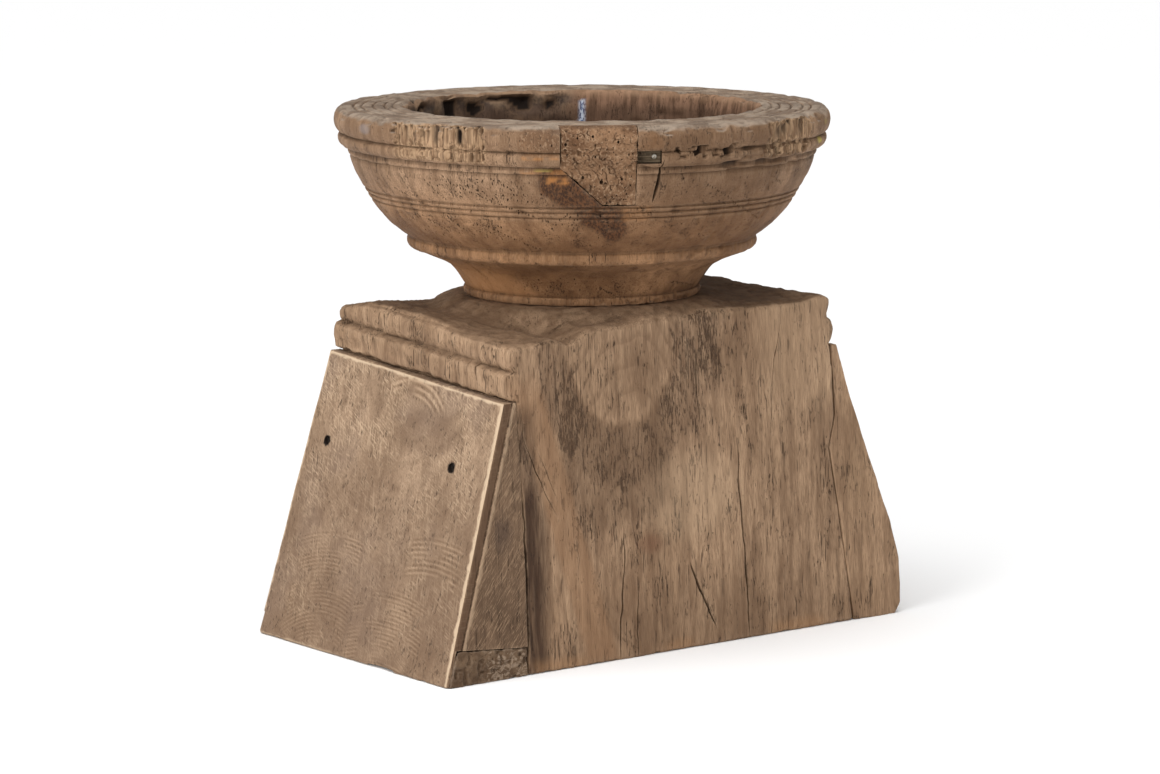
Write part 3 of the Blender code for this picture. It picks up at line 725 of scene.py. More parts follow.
FRONT_CRACKS = (
    (((-0.1768, 0.172), (-0.1755, 0.120), (-0.1750, 0.060), (-0.1750, -0.006)), 0.0042, 0.012),
    (((0.069, 0.185), (0.0695, 0.145), (0.0745, 0.072), (0.078, -0.006)), 0.0036, 0.018),
    (((0.0095, 0.078), (0.021, 0.051), (0.039, 0.014)), 0.0050, 0.012),
    (((-0.066, 0.118), (-0.0655, 0.085), (-0.072, 0.036), (-0.0737, -0.006)), 0.0032, 0.014),
    (((-0.0507, 0.066), (-0.053, 0.030), (-0.053, -0.006)), 0.0026, 0.012),
    (((0.1265, 0.3010), (0.1160, 0.2535), (0.1124, 0.2309), (0.1075, 0.165)), 0.0016, 0.008),
    (((-0.176, 0.236), (-0.1738, 0.208), (-0.1547, 0.164), (-0.138, 0.134)), 0.0018, 0.007),
    (((-0.1655, 0.210), (-0.150, 0.178), (-0.138, 0.150)), 0.0012, 0.004),
    (((-0.073, 0.276), (-0.067, 0.245), (-0.0586, 0.213)), 0.0011, 0.004),
    (((0.012, 0.284), (0.0125, 0.245), (0.010, 0.225)), 0.0015, 0.005),
    (((0.024, 0.290), (0.0225, 0.235), (0.026, 0.192)), 0.0016, 0.006),
    (((0.103, -0.006), (0.106, 0.020), (0.101, 0.034)), 0.0022, 0.006),
    (((-0.120, 0.120), (-0.117, 0.095), (-0.119, 0.072)), 0.0013, 0.004),
)
LIP_SPLITS = (((-0.0905, 0.279), (-0.0915, 0.254)), ((-0.066, 0.275), (-0.0665, 0.252)),
              ((-0.048, 0.290), (-0.0495, 0.268)), ((0.030, 0.302), (0.0285, 0.284)),
              ((0.052, 0.303), (0.050, 0.280)), ((0.012, 0.300), (0.013, 0.283)),
              ((-0.078, 0.291), (-0.079, 0.262)), ((0.080, 0.300), (0.079, 0.286)))
blades = [front_crack(route, width, depth, 100 + i) for i, (route, width, depth) in enumerate(FRONT_CRACKS)]
for i, route in enumerate(LIP_SPLITS):
    width = 0.0036 if i == 0 else 0.0016
    blades.append(blade([(-0.188, place_y, place_z) for place_y, place_z in route], (-1.0, 0.0, 0.0), width,
                        0.010, 140 + i, wander=0.0004, steps=12))
for i in range(7):
    place_x = -0.14 + 0.045 * i + 0.012 * math.sin(5.0 * i)
    tall = 0.05 + 0.03 * math.sin(3.0 * i + 1.0)
    foot = 0.02 + 0.15 * (0.5 + 0.5 * math.sin(7.0 * i))
    back = [(place_x, BACK_FOOT - BACK_BATTER * h, h) for h in (foot, foot + tall / 2, foot + tall)]
    blades.append(blade(back, (0.0, 1.0, 0.0), 0.0018, 0.010, 160 + i))
cut(block, cutter_of("crack_blades", blades))
cut(block, rod("socket", SOCKET_RADIUS, (0.0, 0.0, 0.248), (0.0, 0.0, 0.40), 64))

# %% The block's marks
PITH = (-0.062, 0.207)
ARCH_RADIUS = 0.066


def block_marks(piece):
    places, normals = points_of(piece), normals_of(piece)
    x, y, z = places.T
    on_face = rise(-normals[:, 1], 0.5, 0.8)
    depth_of_pith = ARCH_RADIUS - 0.62 * (z - PITH[1])
    from_pith = np.sqrt((x - PITH[0]) ** 2 + depth_of_pith ** 2) + 0.004 * noise(places, 0.03, 81)
    arch = from_pith - ARCH_RADIUS
    dense = on_face * (0.85 * between(arch, 0.004, 0.030, 0.006) + 0.35 * between(arch, 0.030, 0.070, 0.02))
    dense += on_face * 0.9 * window(x, z, (-0.002, 0.044, 0.010), (0.205, 0.292, 0.015))
    dense *= 1.0 - 0.8 * rise(x, 0.105, 0.125)
    dense *= 1.0 - 0.7 * window(x, z, (0.036, 0.066, 0.008), (0.165, 0.225, 0.012))
    from_seam = x - left_seam(z)
    seam_width = 0.022 - 0.06 * np.abs(z - 0.080) + 0.003 * noise(places, (0.02, 0.02, 0.03), 83)
    seam_side = on_face * (1.0 - rise(from_seam, seam_width - 0.006, seam_width + 0.012))
    seam_side *= 1.0 - rise(z, 0.150, 0.205)
    mark_relief(piece)
    # deep: painted near-black shade on points sunk inside the cracks
    sunk = np.minimum(face_at(z, True) + y, face_at(z, False) - y)
    sunk = np.minimum(sunk, np.where(x < 0, from_seam, right_seam(z) - x))
    in_wood = (z < block_top(x, y) - 0.006) * (z > 0.002) * (np.hypot(x, y) > 0.06)
    mark(piece, "deep", rise(sunk, 0.0022, 0.0055) * in_wood)
    mark(piece, "dense", dense)
    drawn = between(arch, 0.0, 0.0015, 0.0020) * between(x, -0.14, 0.01, 0.02) * rise(z, 0.19, 0.21)
    mark(piece, "arch", on_face * drawn)
    hatched = on_face * (1.0 - rise(from_seam, 0.010, 0.026)) * between(z, 0.140, 0.225, 0.020)
    mark(piece, "stain", np.maximum(seam_side, 0.6 * hatched))
    foot_edge = (1.0 - rise(z, 0.004, 0.016)) * rise(noise(places, 0.030, 85), -0.3, 0.3)
    mark(piece, "fresh", foot_edge * on_face)
    mark(piece, "smear", on_face * spot(x, z, (-0.036, 0.101), (1.6, 1.0), 0.004, 0.013))
    slanted = x + 0.31 * (z - 0.22)
    mark(piece, "band", on_face * between(slanted, -0.172, -0.147, 0.008) * (1.0 - rise(z, 0.235, 0.275)))
    pale = strongest(0.5 * rise(x, 0.085, 0.120) * rise(z, 0.170, 0.235),
                     0.9 * spot(x, z, (0.012, 0.140), (0.060, 0.045), 0.5, 1.2))
    mark(piece, "pale", on_face * pale)
    # dim: painted shade of the bowl over the block's top (on_top), darker to the right, with darker wood
    # round and inside the arch, on the lower right and towards the front's bottom
    on_top = rise(normals[:, 2], 0.6, 0.9) * (0.80 + 0.40 * rise(x, 0.04, 0.14))
    bottom = 0.65 * on_face * (1.0 - rise(z + 0.012 * noise(places, 0.05, 87), 0.030, 0.075))
    mark(piece, "dim", strongest(on_face * window(arch, x, (0.006, 0.050, 0.012), (-0.125, -0.020, 0.020)),
                                 0.45 * on_face * (1.0 - rise(arch, -0.010, 0.0)),
                                 0.40 * on_face * rise(x, 0.070, 0.100) * (1.0 - rise(z, 0.190, 0.230)),
                                 on_top, bottom * (x > -0.13)))


block_marks(block)


# %% The block's finish
def block_finish():
    finish = Finish("block_wood", 0.78)
    extra = finish.maths("MULTIPLY", finish.mark("dense"), 0.115)
    colour, normal = solid_wood(finish, ((0.420, 0.275, 0.168), (0.300, 0.190, 0.112), (0.140, 0.078, 0.042)),
                                (PITH[0], -0.075, 0.20), (0.55, 0.0, 0.0), 0.013, (0.640, 0.690), extra)
    # the dim tint holds painted shade on the top as well as darker wood on the front
    colour = finish.tinted(colour, ("dense", 0.42, (0.120, 0.068, 0.038)), ("arch", 0.35, BROWN),
                           ("pale", 0.38, (0.50, 0.345, 0.215)), ("dim", 0.42, (0.095, 0.052, 0.027)),
                           ("band", 0.6, (0.240, 0.132, 0.068)), ("smear", 0.65, (0.15, 0.072, 0.038)))
    smoke = finish.fade(finish.pattern((150.0, 150.0, 16.0), 3.0, 0.6), 0.30, 0.55, 0.70, 1.0)
    colour = finish.mix(finish.maths("MULTIPLY", finish.mark("stain"), smoke), colour, (0.050, 0.025, 0.013))
    colour = finish.tinted(colour, ("fresh", 0.35, (0.34, 0.18, 0.08)))
    return finish.done(aged(finish, colour), normal)


show(block, "block", block_finish())

# %% [markdown]
# ## The left side: wedge, facing board and filled corner
#
# The left wedge is a later repair. Its core is sawn smooth, and a thin board, still showing the
# arcs of the circular saw, is screwed over it. Both are long boxes that lean in towards the top, so
# one function bends a gridded cube to any layer between two slanted faces.

# %% Shapes on the left side
FIT = 0.0003
SIDE_FOOT = 0.083
LEFT_TOP_WIDTH = 0.0105
BOARD_THICK = 0.009
BOARD_SETBACK = 0.0012
LIP_GAP = 0.0012


def left_top(share):
    """Height of the left side's top, from the front (share 0) to the back (share 1)."""
    return LIP_BASE - LIP_GAP - FRONT_SINK + (FRONT_SINK - BACK_SINK) * share


def left_outer(z, share):
    """Distance of the board's outer face from the bowl's axis."""
    return BLOCK_SIDE + FIT + SIDE_FOOT + (LEFT_TOP_WIDTH - SIDE_FOOT) * z / left_top(share)


def left_layer(places, size, inner, outer, setback=0.0):
    """Bends a box of the given size to a layer of the left side. Along X the box runs from the
    outer face to the inner one, along Y from front to back, and along Z from foot to top."""
    across, share, up = (places / np.asarray(size, float)).T
    z = up * left_top(share)
    front, back = face_at(z, True) - setback, face_at(z, False)
    y = -front + share * (front + back)
    x = -(outer(z, share) * (1 - across) + inner(z, share) * across)
    return np.stack((x, y, z), axis=1)


def board_inner(z, share):
    return left_outer(z, share) - BOARD_THICK


def wedge_inner(z, share):
    """The block's side, which is the same from front to back, so share isn't read."""
    return -left_seam(z) + FIT


# %% The facing board
# each run of saw arcs: centre in Y and Z, gap, depth, nearest and farthest arc, reach along Y
SAW_ARCS = ((0.0460, -0.0660, 0.0037, 0.00030, (0.080, 0.172), (0.020, 0.104)),
            (-0.0450, -0.1545, 0.0037, 0.00034, (0.160, 0.222), (-0.092, 0.004)),
            (-0.0930, -0.0570, 0.0046, 0.00026, (0.150, 0.178), (-0.125, -0.060)),
            (-0.0066, 0.1870, 0.0060, 0.00026, (0.058, 0.070), (-0.052, 0.052)))
SLOPE_LENGTH = 1.04


def saw_arcs(places):
    """Each run of saw arcs as its depth, how strongly it shows, and its wave from 0 to 1."""
    for centre_y, centre_z, gap, depth, limits, reach in SAW_ARCS:
        up = places[:, 2] * SLOPE_LENGTH - centre_z
        radius = np.hypot(places[:, 1] - centre_y, up)
        zone = between(radius, *limits, 0.006) * between(places[:, 1], *reach, 0.010)
        zone *= rise(up, 0.60 * radius, 0.75 * radius)
        zone *= rise(noise(places, (1.0, 0.018, 0.012), 221), -0.4, 0.4)
        yield depth, zone, 0.5 + 0.5 * np.cos(2 * np.pi * radius / gap)


def shape_board():
    board = gridded_cube("sawn_facing_board", (2, 3), (14, 15), (14, 14))
    depth, height = 0.290, 0.262
    lines = (spread(0.0, BOARD_THICK, 6), spread(0.0, depth, 210, ((0.0, 0.004, 3.0), (depth, 0.004, 2.0))),
             spread(0.0, height, 196, ((0.0, 0.004, 2.0), (height, 0.004, 2.5))))
    places = laid_out(board, *lines)
    edge = 0.0012 + 0.0008 * noise(places, (1.0, 0.020, 0.020), 201)
    edge += 0.0026 * (places[:, 2] < 0.020)
    places = rubbed_round(places, (0.0, 0.0, 0.0), (BOARD_THICK, depth, height), edge)
    places = left_layer(places, (BOARD_THICK, depth, height), board_inner, left_outer, BOARD_SETBACK)
    move_points(board, places)
    normals = normals_of(board)
    wear = 0.00030 * rough(places, 0.040, 211) - 0.00012
    outer_face = rise(-normals[:, 0], 0.6, 0.9)
    for strength, zone, wave in saw_arcs(places):
        wear -= outer_face * strength * zone * wave ** 3
    chip = rise(noise(places, (0.02, 0.016, 0.010), 231), 0.15, 0.6)
    chip *= 1.0 - rise(places[:, 2], 0.003, 0.009)
    wear -= 0.0022 * chip * between(places[:, 1], -0.10, -0.03, 0.03)
    press(board, places, wear)
    return board


board = shape_board()
SCREWS_Y = (0.103, -0.085)
SCREWS_Z = 0.180
SCREW_HEAD_HOLE = 0.0041
SCREW_HOLE = 0.0025
for y in SCREWS_Y:
    cut(board, rod("screw_hole", SCREW_HEAD_HOLE, (-0.30, y, SCREWS_Z), (-0.18, y, SCREWS_Z), 32))
FOOT_SPLIT = ((-0.268, 0.0740, -0.004), (-0.264, 0.0735, 0.010), (-0.259, 0.0742, 0.022))
split = blade(FOOT_SPLIT, (-1.0, 0.0, 0.28), width=0.0016, depth=0.006, seed=250, wander=0.0003, steps=10)
cut(board, cutter_of("board_splits", [split]))


# %% The filled corner and its bed
FILLER_THICK = 0.014
FILLER_INNER_TOP = 0.026
FILLER_OUTER_TOP = 0.032
FILLER_SKIN = 0.003


def filler_skin(z):
    return FILLER_SKIN - left_outer(z, 0.0)


def shape_filler():
    filler = gridded_cube("filled_corner", (9, 10), (2, 4), (6, 6))
    places = points_of(filler) + 0.5
    size = (0.080, FILLER_THICK, 0.030)
    places = rubbed_round(places * size, (0.0, 0.0, 0.0), size, 0.0014) / size
    share, depth, up = places.T
    top = FILLER_OUTER_TOP + (FILLER_INNER_TOP - FILLER_OUTER_TOP) * share - FIT
    z = up * (top + 0.0004 * noise(places, (0.09, 3.0, 3.0), 261) - 0.0004)
    left, right = filler_skin(z) + FIT, left_seam(z) - FIT
    x = left + share * (right - left)
    y = -face_at(z, True) + depth * (FILLER_THICK - FIT)
    places = np.stack((x, y, z), axis=1)
    move_points(filler, places)
    wear = 0.0007 * rough(places, (0.016, 0.016, 0.012), 271) + 0.0005 * rough(places, 0.004, 275)
    wear -= 0.0016 * rise(noise(places, 0.005, 281), 0.35, 0.7)
    crumbled = rise(z, 0.020, 0.027) * rise(noise(places, (0.007, 0.02, 0.007), 285), -0.1, 0.5)
    wear -= 0.0007 * crumbled
    press(filler, places, wear)
    return filler


def filler_bed():
    """The space behind the filled corner, which is cut out of the wedge and the board."""
    reach = 0.02
    outline = ((left_seam(0.0) + reach, -reach), (left_seam(0.0) + reach, FILLER_INNER_TOP),
               (-BLOCK_SIDE, FILLER_INNER_TOP), (filler_skin(FILLER_OUTER_TOP), FILLER_OUTER_TOP),
               (filler_skin(-reach), -reach))
    return prism([(x, -FRONT_FOOT - reach, z) for x, z in outline],
                 [(x, FILLER_THICK - FRONT_FOOT + FRONT_BATTER * z, z) for x, z in outline])


cut(board, cutter_of("filler_bed", [filler_bed()]))
filler = shape_filler()


# %% The wedge's core
def shape_left_wedge():
    core = gridded_cube("left_wedge_core", (6, 8), (5, 8), (10, 12))
    size = (0.070, 0.290, 0.258)
    lines = (spread(0.0, size[0], 48, ((0.0, 0.004, 2.0), (size[0], 0.004, 2.0))),
             spread(0.0, size[1], 40, ((0.0, 0.004, 8.0),)), spread(0.0, size[2], 120))
    places = laid_out(core, *lines)
    edge = np.full(len(places), 0.0010)
    places = rubbed_round(places, (0.0, 0.0, 0.0), size, edge)
    places = left_layer(places, size, wedge_inner, lambda z, share: board_inner(z, share) - FIT)
    move_points(core, places)
    wear = 0.00035 * rough(places, (0.030, 0.030, 0.050), 301)
    slanted = places @ np.array(((0.5, 0.0, -0.86), (0.0, 1.0, 0.0), (0.86, 0.0, 0.5)))
    wear -= 0.00035 * rise(noise(slanted, (0.0018, 1.0, 0.030), 311), 0.25, 0.7)
    press(core, places, wear)
    return core


wedge = shape_left_wedge()
cut(wedge, cutter_of("filler_bed", [filler_bed()]))
for y in SCREWS_Y:
    cut(wedge, rod("screw_hole", SCREW_HOLE, (-0.30, y, SCREWS_Z), (-0.15, y, SCREWS_Z), 24))

# %% [markdown]
# ## The right wedge
#
# The right wedge is as old as the block. Its outer face bellies out near the floor, where the
# corner is worn round, and its joint with the block wanders, because both have moved for years.

# %% Shaping the right wedge
RIGHT_TOP = 0.2598
RIGHT_OUTER = ((0.0, 0.2560), (0.010, 0.2635), (0.028, 0.2655), (0.051, 0.2640), (0.086, 0.2540),
               (0.110, 0.2440), (0.134, 0.2360), (0.157, 0.2275), (0.192, 0.2140), (0.227, 0.2010),
               (RIGHT_TOP, 0.1910))


def shape_right_wedge():
    piece = gridded_cube("old_right_wedge", (6, 8), (9, 10), (10, 12))
    size = (0.060, 0.290, RIGHT_TOP)
    lines = (spread(0.0, size[0], 48, ((0.0, 0.004, 2.0), (size[0], 0.006, 2.0))),
             spread(0.0, size[1], 90, ((0.0, 0.006, 4.0), (size[1], 0.006, 2.0))),
             spread(0.0, size[2], 120, ((0.0, 0.008, 1.5),)))
    places = laid_out(piece, *lines)
    edge = 0.0025 + 0.0018 * noise(places, (0.05, 0.05, 0.03), 321)
    edge = np.where(places[:, 0] < 0.01, 0.0008, edge)
    places = rubbed_round(places, (0.0, 0.0, 0.0), size, edge)
    across, share, up = (places / np.asarray(size)).T
    z = up * RIGHT_TOP
    inner = right_seam(z) + FIT
    outer = np.maximum(np.interp(z, *zip(*RIGHT_OUTER)), inner + 0.004)
    front, back = face_at(z, True), face_at(z, False)
    places = np.stack((inner + across * (outer - inner), -front + share * (front + back), z), axis=1)
    move_points(piece, places)
    wear = 0.0007 * rough(places, (0.050, 0.050, 0.080), 331)
    wear += 0.0003 * rough(places, (0.004, 0.004, 0.040), 335)
    wear -= 0.0009 * np.clip(noise(places, (0.0030, 0.0030, 0.024), 341) - 0.35, 0.0, 1.0)
    press(piece, places, wear)
    return piece


right_wedge = shape_right_wedge()
RIGHT_SPLITS = ((-0.070, 0.02), (0.045, -0.01), (0.100, 0.06))
splits = []
for i, (y, z) in enumerate(RIGHT_SPLITS):
    route = ((0.262, y, z), (0.250, y + 0.004, z + 0.05), (0.235, y + 0.001, z + 0.10))
    splits.append(blade(route, (1.0, 0.0, 0.35), width=0.0020, depth=0.012, seed=360 + i))
cut(right_wedge, cutter_of("right_splits", splits))


# %% Finishes of the side pieces
def sawn_finish():
    """New, greyed board: arcs of the saw, pale scratches, smooth brown patches, pale edges."""
    finish = Finish("sawn_board", 0.80)
    colour, normal = solid_wood(finish, ((0.330, 0.222, 0.142), (0.240, 0.156, 0.096), (0.140, 0.083, 0.048)),
                                (-0.05, 0.0, 0.12), (0.0, 0.35, 0.0), 0.012, (0.78, 0.90))
    patch = finish.pattern((11.0, 11.0, 11.0), 2.0)
    colour = finish.mix(finish.fade(patch, 0.50, 0.66, 0.0, 0.45), colour, (0.190, 0.128, 0.092))
    cross = finish.pattern((60.0, 110.0, 1500.0), 2.0, 0.5, turn=(math.radians(-24.0), 0.0, 0.0))
    upright = finish.pattern((60.0, 1500.0, 70.0), 2.0, 0.5, turn=(math.radians(12.0), 0.0, 0.0))
    scratch = finish.maths("MAXIMUM", finish.fade(cross, 0.52, 0.66), finish.fade(upright, 0.52, 0.66))
    rubbed = finish.fade(finish.pattern((26.0, 26.0, 26.0), 3.0, 0.6), 0.36, 0.62, 0.15, 1.0)
    scratch = finish.maths("MULTIPLY", scratch, rubbed)
    colour = finish.mix(finish.maths("MULTIPLY", scratch, 0.75), colour, (0.50, 0.36, 0.235))
    return finish, colour, normal


def board_finish():
    finish, colour, normal = sawn_finish()
    # edge is painted shade on the board's front edge
    colour = finish.tinted(colour, ("saw", 0.55, PALE), ("saw_low", 0.55, BROWN),
                           ("shaded", 0.62, (0.120, 0.070, 0.042)), ("arris", 0.80, (0.56, 0.42, 0.285)),
                           ("edge", 0.85, (0.075, 0.037, 0.018)))
    return finish.done(aged(finish, colour, 0.8, 0.25), normal)


def core_finish():
    finish = Finish("wedge_core", 0.80)
    colour, normal = solid_wood(finish, ((0.190, 0.118, 0.070), (0.135, 0.081, 0.047), (0.080, 0.046, 0.026)),
                                (-0.02, 0.0, 0.12), (0.3, 0.0, 0.0), 0.014, (0.68, 0.76))
    slanted = finish.pattern((1300.0, 300.0, 90.0), 2.0, 0.6, turn=(0.0, math.radians(-38.0), 0.0))
    colour = finish.mix(finish.fade(slanted, 0.52, 0.66, 0.0, 0.70), colour, (0.30, 0.195, 0.118))
    colour = finish.tinted(colour, ("smudge", 0.6, (0.060, 0.036, 0.025)),
                           ("arris", 0.6, (0.38, 0.265, 0.17)))
    return finish.done(aged(finish, colour, 0.8, 0.5), normal)


def right_finish():
    finish = Finish("right_wedge_wood", 0.78)
    colour, normal = solid_wood(finish, ((0.380, 0.245, 0.148), (0.285, 0.180, 0.105), (0.150, 0.085, 0.046)),
                                (0.30, 0.05, 0.1), (0.10, 0.15, 0.0), 0.012, (0.650, 0.705))
    return finish.done(aged(finish, colour), normal)


def filler_finish():
    finish = Finish("filler_paste", 0.88)
    broad = finish.pattern((60.0, 60.0, 60.0), 4.0, 0.6)
    fine = finish.pattern((420.0, 420.0, 420.0), 3.0, 0.6)
    swirl = finish.pattern((110.0, 110.0, 160.0), 3.0, 0.6, 1.6)
    colour = finish.mix(finish.fade(broad, 0.4, 0.62), (0.080, 0.046, 0.025), (0.125, 0.077, 0.044))
    pale = finish.maths("MULTIPLY", finish.fade(swirl, 0.47, 0.60), finish.mark("pale"))
    colour = finish.mix(finish.maths("MULTIPLY", pale, 0.62), colour, (0.30, 0.220, 0.155))
    colour = finish.mix(finish.fade(fine, 0.60, 0.68, 0.0, 0.7), colour, DEEP)
    return finish.done(aged(finish, colour, 0.9, 0.3, (0.45, 0.37, 0.29)), finish.bump(fine, 0.0006))


# %% Marks of the side pieces
def board_marks(piece):
    places = points_of(piece)
    normals = normals_of(piece)
    y, z = places[:, 1], places[:, 2]
    outer_face = rise(-normals[:, 0], 0.75, 0.93)
    pale, low_mark = np.zeros(len(places)), np.zeros(len(places))
    for _, zone, wave in saw_arcs(places):
        pale = np.maximum(pale, outer_face * zone * (1.0 - wave) ** 3)
        low_mark = np.maximum(low_mark, outer_face * zone * wave ** 3)
    share = (y + face_at(z, True)) / (face_at(z, True) + face_at(z, False))
    fuzz = 0.0011 * rough(places, 0.0060, 371) + 0.0008
    arris = strongest(1.0 - rise(y + face_at(z, True) - BOARD_SETBACK - fuzz, 0.0024, 0.0050),
                      1.0 - rise(left_top(share) - z - fuzz, 0.0010, 0.0030),
                      0.8 * (1.0 - rise(face_at(z, False) - y - fuzz, 0.0006, 0.0020)),
                      0.55 * (1.0 - rise(z - fuzz, 0.0008, 0.0030)) * rise(y, -0.02, 0.06))
    mark_relief(piece)
    # deep: painted near-black shade in and round the screw holes
    from_hole = np.minimum(*(np.hypot(y - screw, z - SCREWS_Z) for screw in SCREWS_Y))
    mark(piece, "deep", from_hole < 0.0050)
    mark(piece, "saw", pale)
    mark(piece, "saw_low", low_mark)
    mark(piece, "arris", arris * outer_face)
    # edge: painted shade, the board's set-back front edge coloured near black
    mark(piece, "edge", rise(-normals[:, 1], 0.6, 0.9))
    dark = (1.0 - rise(z, 0.060, 0.240)) * (0.65 + 0.35 * noise(places, (1.0, 0.030, 0.045), 391))
    dark = strongest(dark, 0.9 * spot(y, z, (0.030, 0.030), (0.030, 0.030), 0.6, 1.1),
                     0.7 * spot(y, z, (-0.045, 0.205), (0.045, 0.022), 0.7, 1.2))
    mark(piece, "shaded", dark * outer_face)


def core_marks(piece):
    places = points_of(piece)
    x, z = places[:, 0], places[:, 2]
    mark_relief(piece)
    from_smudge = np.hypot((x + 0.200) / 0.7, z - 0.128) + 0.003 * noise(places, 0.006, 381)
    mark(piece, "smudge", 1.0 - rise(from_smudge, 0.006, 0.022))
    outer = -(board_inner(z, 0.0) - FIT)
    fuzz = 0.0012 * noise(places, (0.004, 0.004, 0.006), 385) + 0.0008
    on_front_face = rise(-normals_of(piece)[:, 1], 0.3, 0.7)
    mark(piece, "arris", on_front_face * (1.0 - rise(x - outer - fuzz, 0.0012, 0.0032)))


def filler_marks(piece):
    x = points_of(piece)[:, 0]
    mark_relief(piece)
    mark(piece, "pale", rise(x, -0.232, -0.214))


board_marks(board)
core_marks(wedge)
filler_marks(filler)
mark_relief(right_wedge)
show(board, "facing_board", board_finish())
show(wedge, "wedge_left", core_finish())
show(filler, "corner_filler", filler_finish())
show(right_wedge, "wedge_right", right_finish())

# %% [markdown]
# ## The bowl
#
# The real bowl was turned on a lathe: its section was cut once and swept round an axis. The Screw
# modifier does just that. The section holds every bead, groove and step, down to the tenon that
# stands in the block. More turns lie on the near side, because that side is worn the most.

# %% The bowl's section, in radius and height
RIM_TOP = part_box("bowl")[1].z
FOOT = SEAT_TOP + 0.0006
NEAR_SIDE = VIEW_AZIMUTH - math.pi / 2
BODY_GROOVES = (0.4090, 0.4042, 0.3992)
TOP_GROOVES = (0.1728, 0.1802, 0.1906, 0.2011, 0.2086)


def eased(points, softness, count, crowded=()):
    """A line through a few points with its corners eased, as count new points."""
    points = np.asarray(points, float)
    step = 0.0002
    lengths = np.concatenate(([0.0], np.cumsum(np.hypot(*np.diff(points, axis=0).T))))
    fine = np.linspace(0.0, lengths[-1], int(lengths[-1] / step) + 2)
    line = np.stack([np.interp(fine, lengths, column) for column in points.T], axis=1)
    reach = min(int(2.5 * softness / step), len(line) - 2)
    weights = np.exp(-0.5 * (np.arange(-reach, reach + 1) * step / softness) ** 2)
    padded = np.concatenate((2 * line[0] - line[reach:0:-1], line, 2 * line[-1] - line[-2:-reach - 2:-1]))
    line = np.stack([np.convolve(column, weights / weights.sum(), "valid") for column in padded.T], axis=1)
    stops = spread(0.0, lengths[-1], count, crowded)
    return np.stack([np.interp(stops, fine, column) for column in line.T], axis=1)[:-1]


def swell(start, end, proud, count):
    """A rounded bead between two points of the section."""
    start, end = np.asarray(start), np.asarray(end)
    share = np.linspace(0.0, 1.0, count + 1)[:-1, None]
    run = (end - start) / np.linalg.norm(end - start)
    outward = np.array((run[1], -run[0]))
    return start + share * (end - start) + proud * np.sqrt(1.0 - (2 * share - 1) ** 2) * outward


NECK = ((0.1068, 0.3180), (0.1085, 0.3205), (0.1105, 0.3235), (0.1132, 0.3280), (0.1166, 0.3330),
        (0.1222, 0.3390), (0.1322, 0.3445), (0.1460, 0.3500), (0.1538, 0.3532))
BODY = ((0.1608, 0.3662), (0.1631, 0.3674), (0.1768, 0.3780), (0.1868, 0.3890), (0.1941, 0.4000),
        (0.2004, 0.4110), (0.2067, 0.4220), (0.2100, 0.4300), (0.2124, 0.4380))
SECOND_BEAD = ((0.2134, 0.4456), (0.2186, 0.4466), (0.2215, 0.4492), (0.2229, 0.4525), (0.2230, 0.4550),
               (0.2221, 0.4572), (0.2203, 0.4585))
ROLL = ((0.2200, 0.4590), (0.2222, 0.4598), (0.2243, 0.4622), (0.2258, 0.4660), (0.2264, 0.4705),
        (0.2259, 0.4748), (0.2243, 0.4782), (0.2218, 0.4806), (0.2185, 0.4818), (0.2150, 0.4820))
HOLLOW_TURN = ((0.1520, 0.4170), (0.1494, 0.4030), (0.1410, 0.3925), (0.1310, 0.3868), (0.1200, 0.3850))


def section():
    tenon_end = FOOT - TENON_LENGTH
    lines = [np.array(((0.0, tenon_end), (0.030, tenon_end), (0.042, tenon_end), (0.045, tenon_end + 0.003),
                       (0.045, FOOT - 0.020), (0.045, FOOT), (0.080, FOOT)))]
    lines.append(swell((0.1060, FOOT), (0.1066, FOOT + 0.0077), 0.0025, 9))
    lines.append(eased(NECK, 0.0015, 26))
    lines.append(swell((0.1540, 0.3534), (0.1572, 0.3652), 0.0046, 13))
    body = eased(BODY, 0.0022, 56, ((0.058, 0.012, 1.2),))
    for height in BODY_GROOVES:
        body[:, 0] -= 0.0019 * np.exp(-((body[:, 1] - height) / 0.0009) ** 2)
    lines.append(body)
    lines.append(swell((0.2112, 0.4392), (0.2122, 0.4440), 0.0021, 8))
    lines.append(eased(SECOND_BEAD, 0.0005, 15))
    lines.append(eased(ROLL, 0.0009, 28))
    top = eased(((0.2150, 0.4820), (0.1900, 0.4816), (0.1645, 0.4820)), 0.001, 44,
                tuple((0.2150 - radius, 0.0016, 2.5) for radius in TOP_GROOVES))
    for radius in TOP_GROOVES:
        top[:, 1] -= 0.0020 * np.exp(-((top[:, 0] - radius) / 0.0011) ** 2)
    lines.append(top)
    lines.append(eased(((0.1645, 0.4820), (0.1615, 0.4812), (0.1600, 0.4790)), 0.0007, 4))
    lines.append(eased(((0.1600, 0.4790), (0.1562, 0.4480), (0.1520, 0.4170)), 0.002, 18))
    lines.append(eased(HOLLOW_TURN, 0.003, 9))
    lines.append(np.array(((0.1200, 0.3850), (0.0900, 0.3849), (0.0500, 0.3848), (0.0200, 0.3848),
                           (0.0, 0.3848))))
    return np.concatenate(lines)


SECTION = section()
OUTSIDE = SECTION[9:SECTION[:, 0].argmax() + 1]
OUTSIDE = OUTSIDE[np.argsort(OUTSIDE[:, 1])]


def outside_radius(z):
    return np.interp(z, OUTSIDE[:, 1], OUTSIDE[:, 0])


def on_bowl(degrees, z):
    """A place on the bowl's outside, by its angle to the right of the near side and its height, and
    the direction out of it."""
    angle = NEAR_SIDE + math.radians(degrees)
    radius = float(outside_radius(z))
    slope = float(outside_radius(z + 0.004) - outside_radius(z - 0.004)) / 0.008
    outward = np.array((math.cos(angle), math.sin(angle), -slope))
    place = np.array((radius * math.cos(angle), radius * math.sin(angle), z))
    return place, outward / np.linalg.norm(outward)


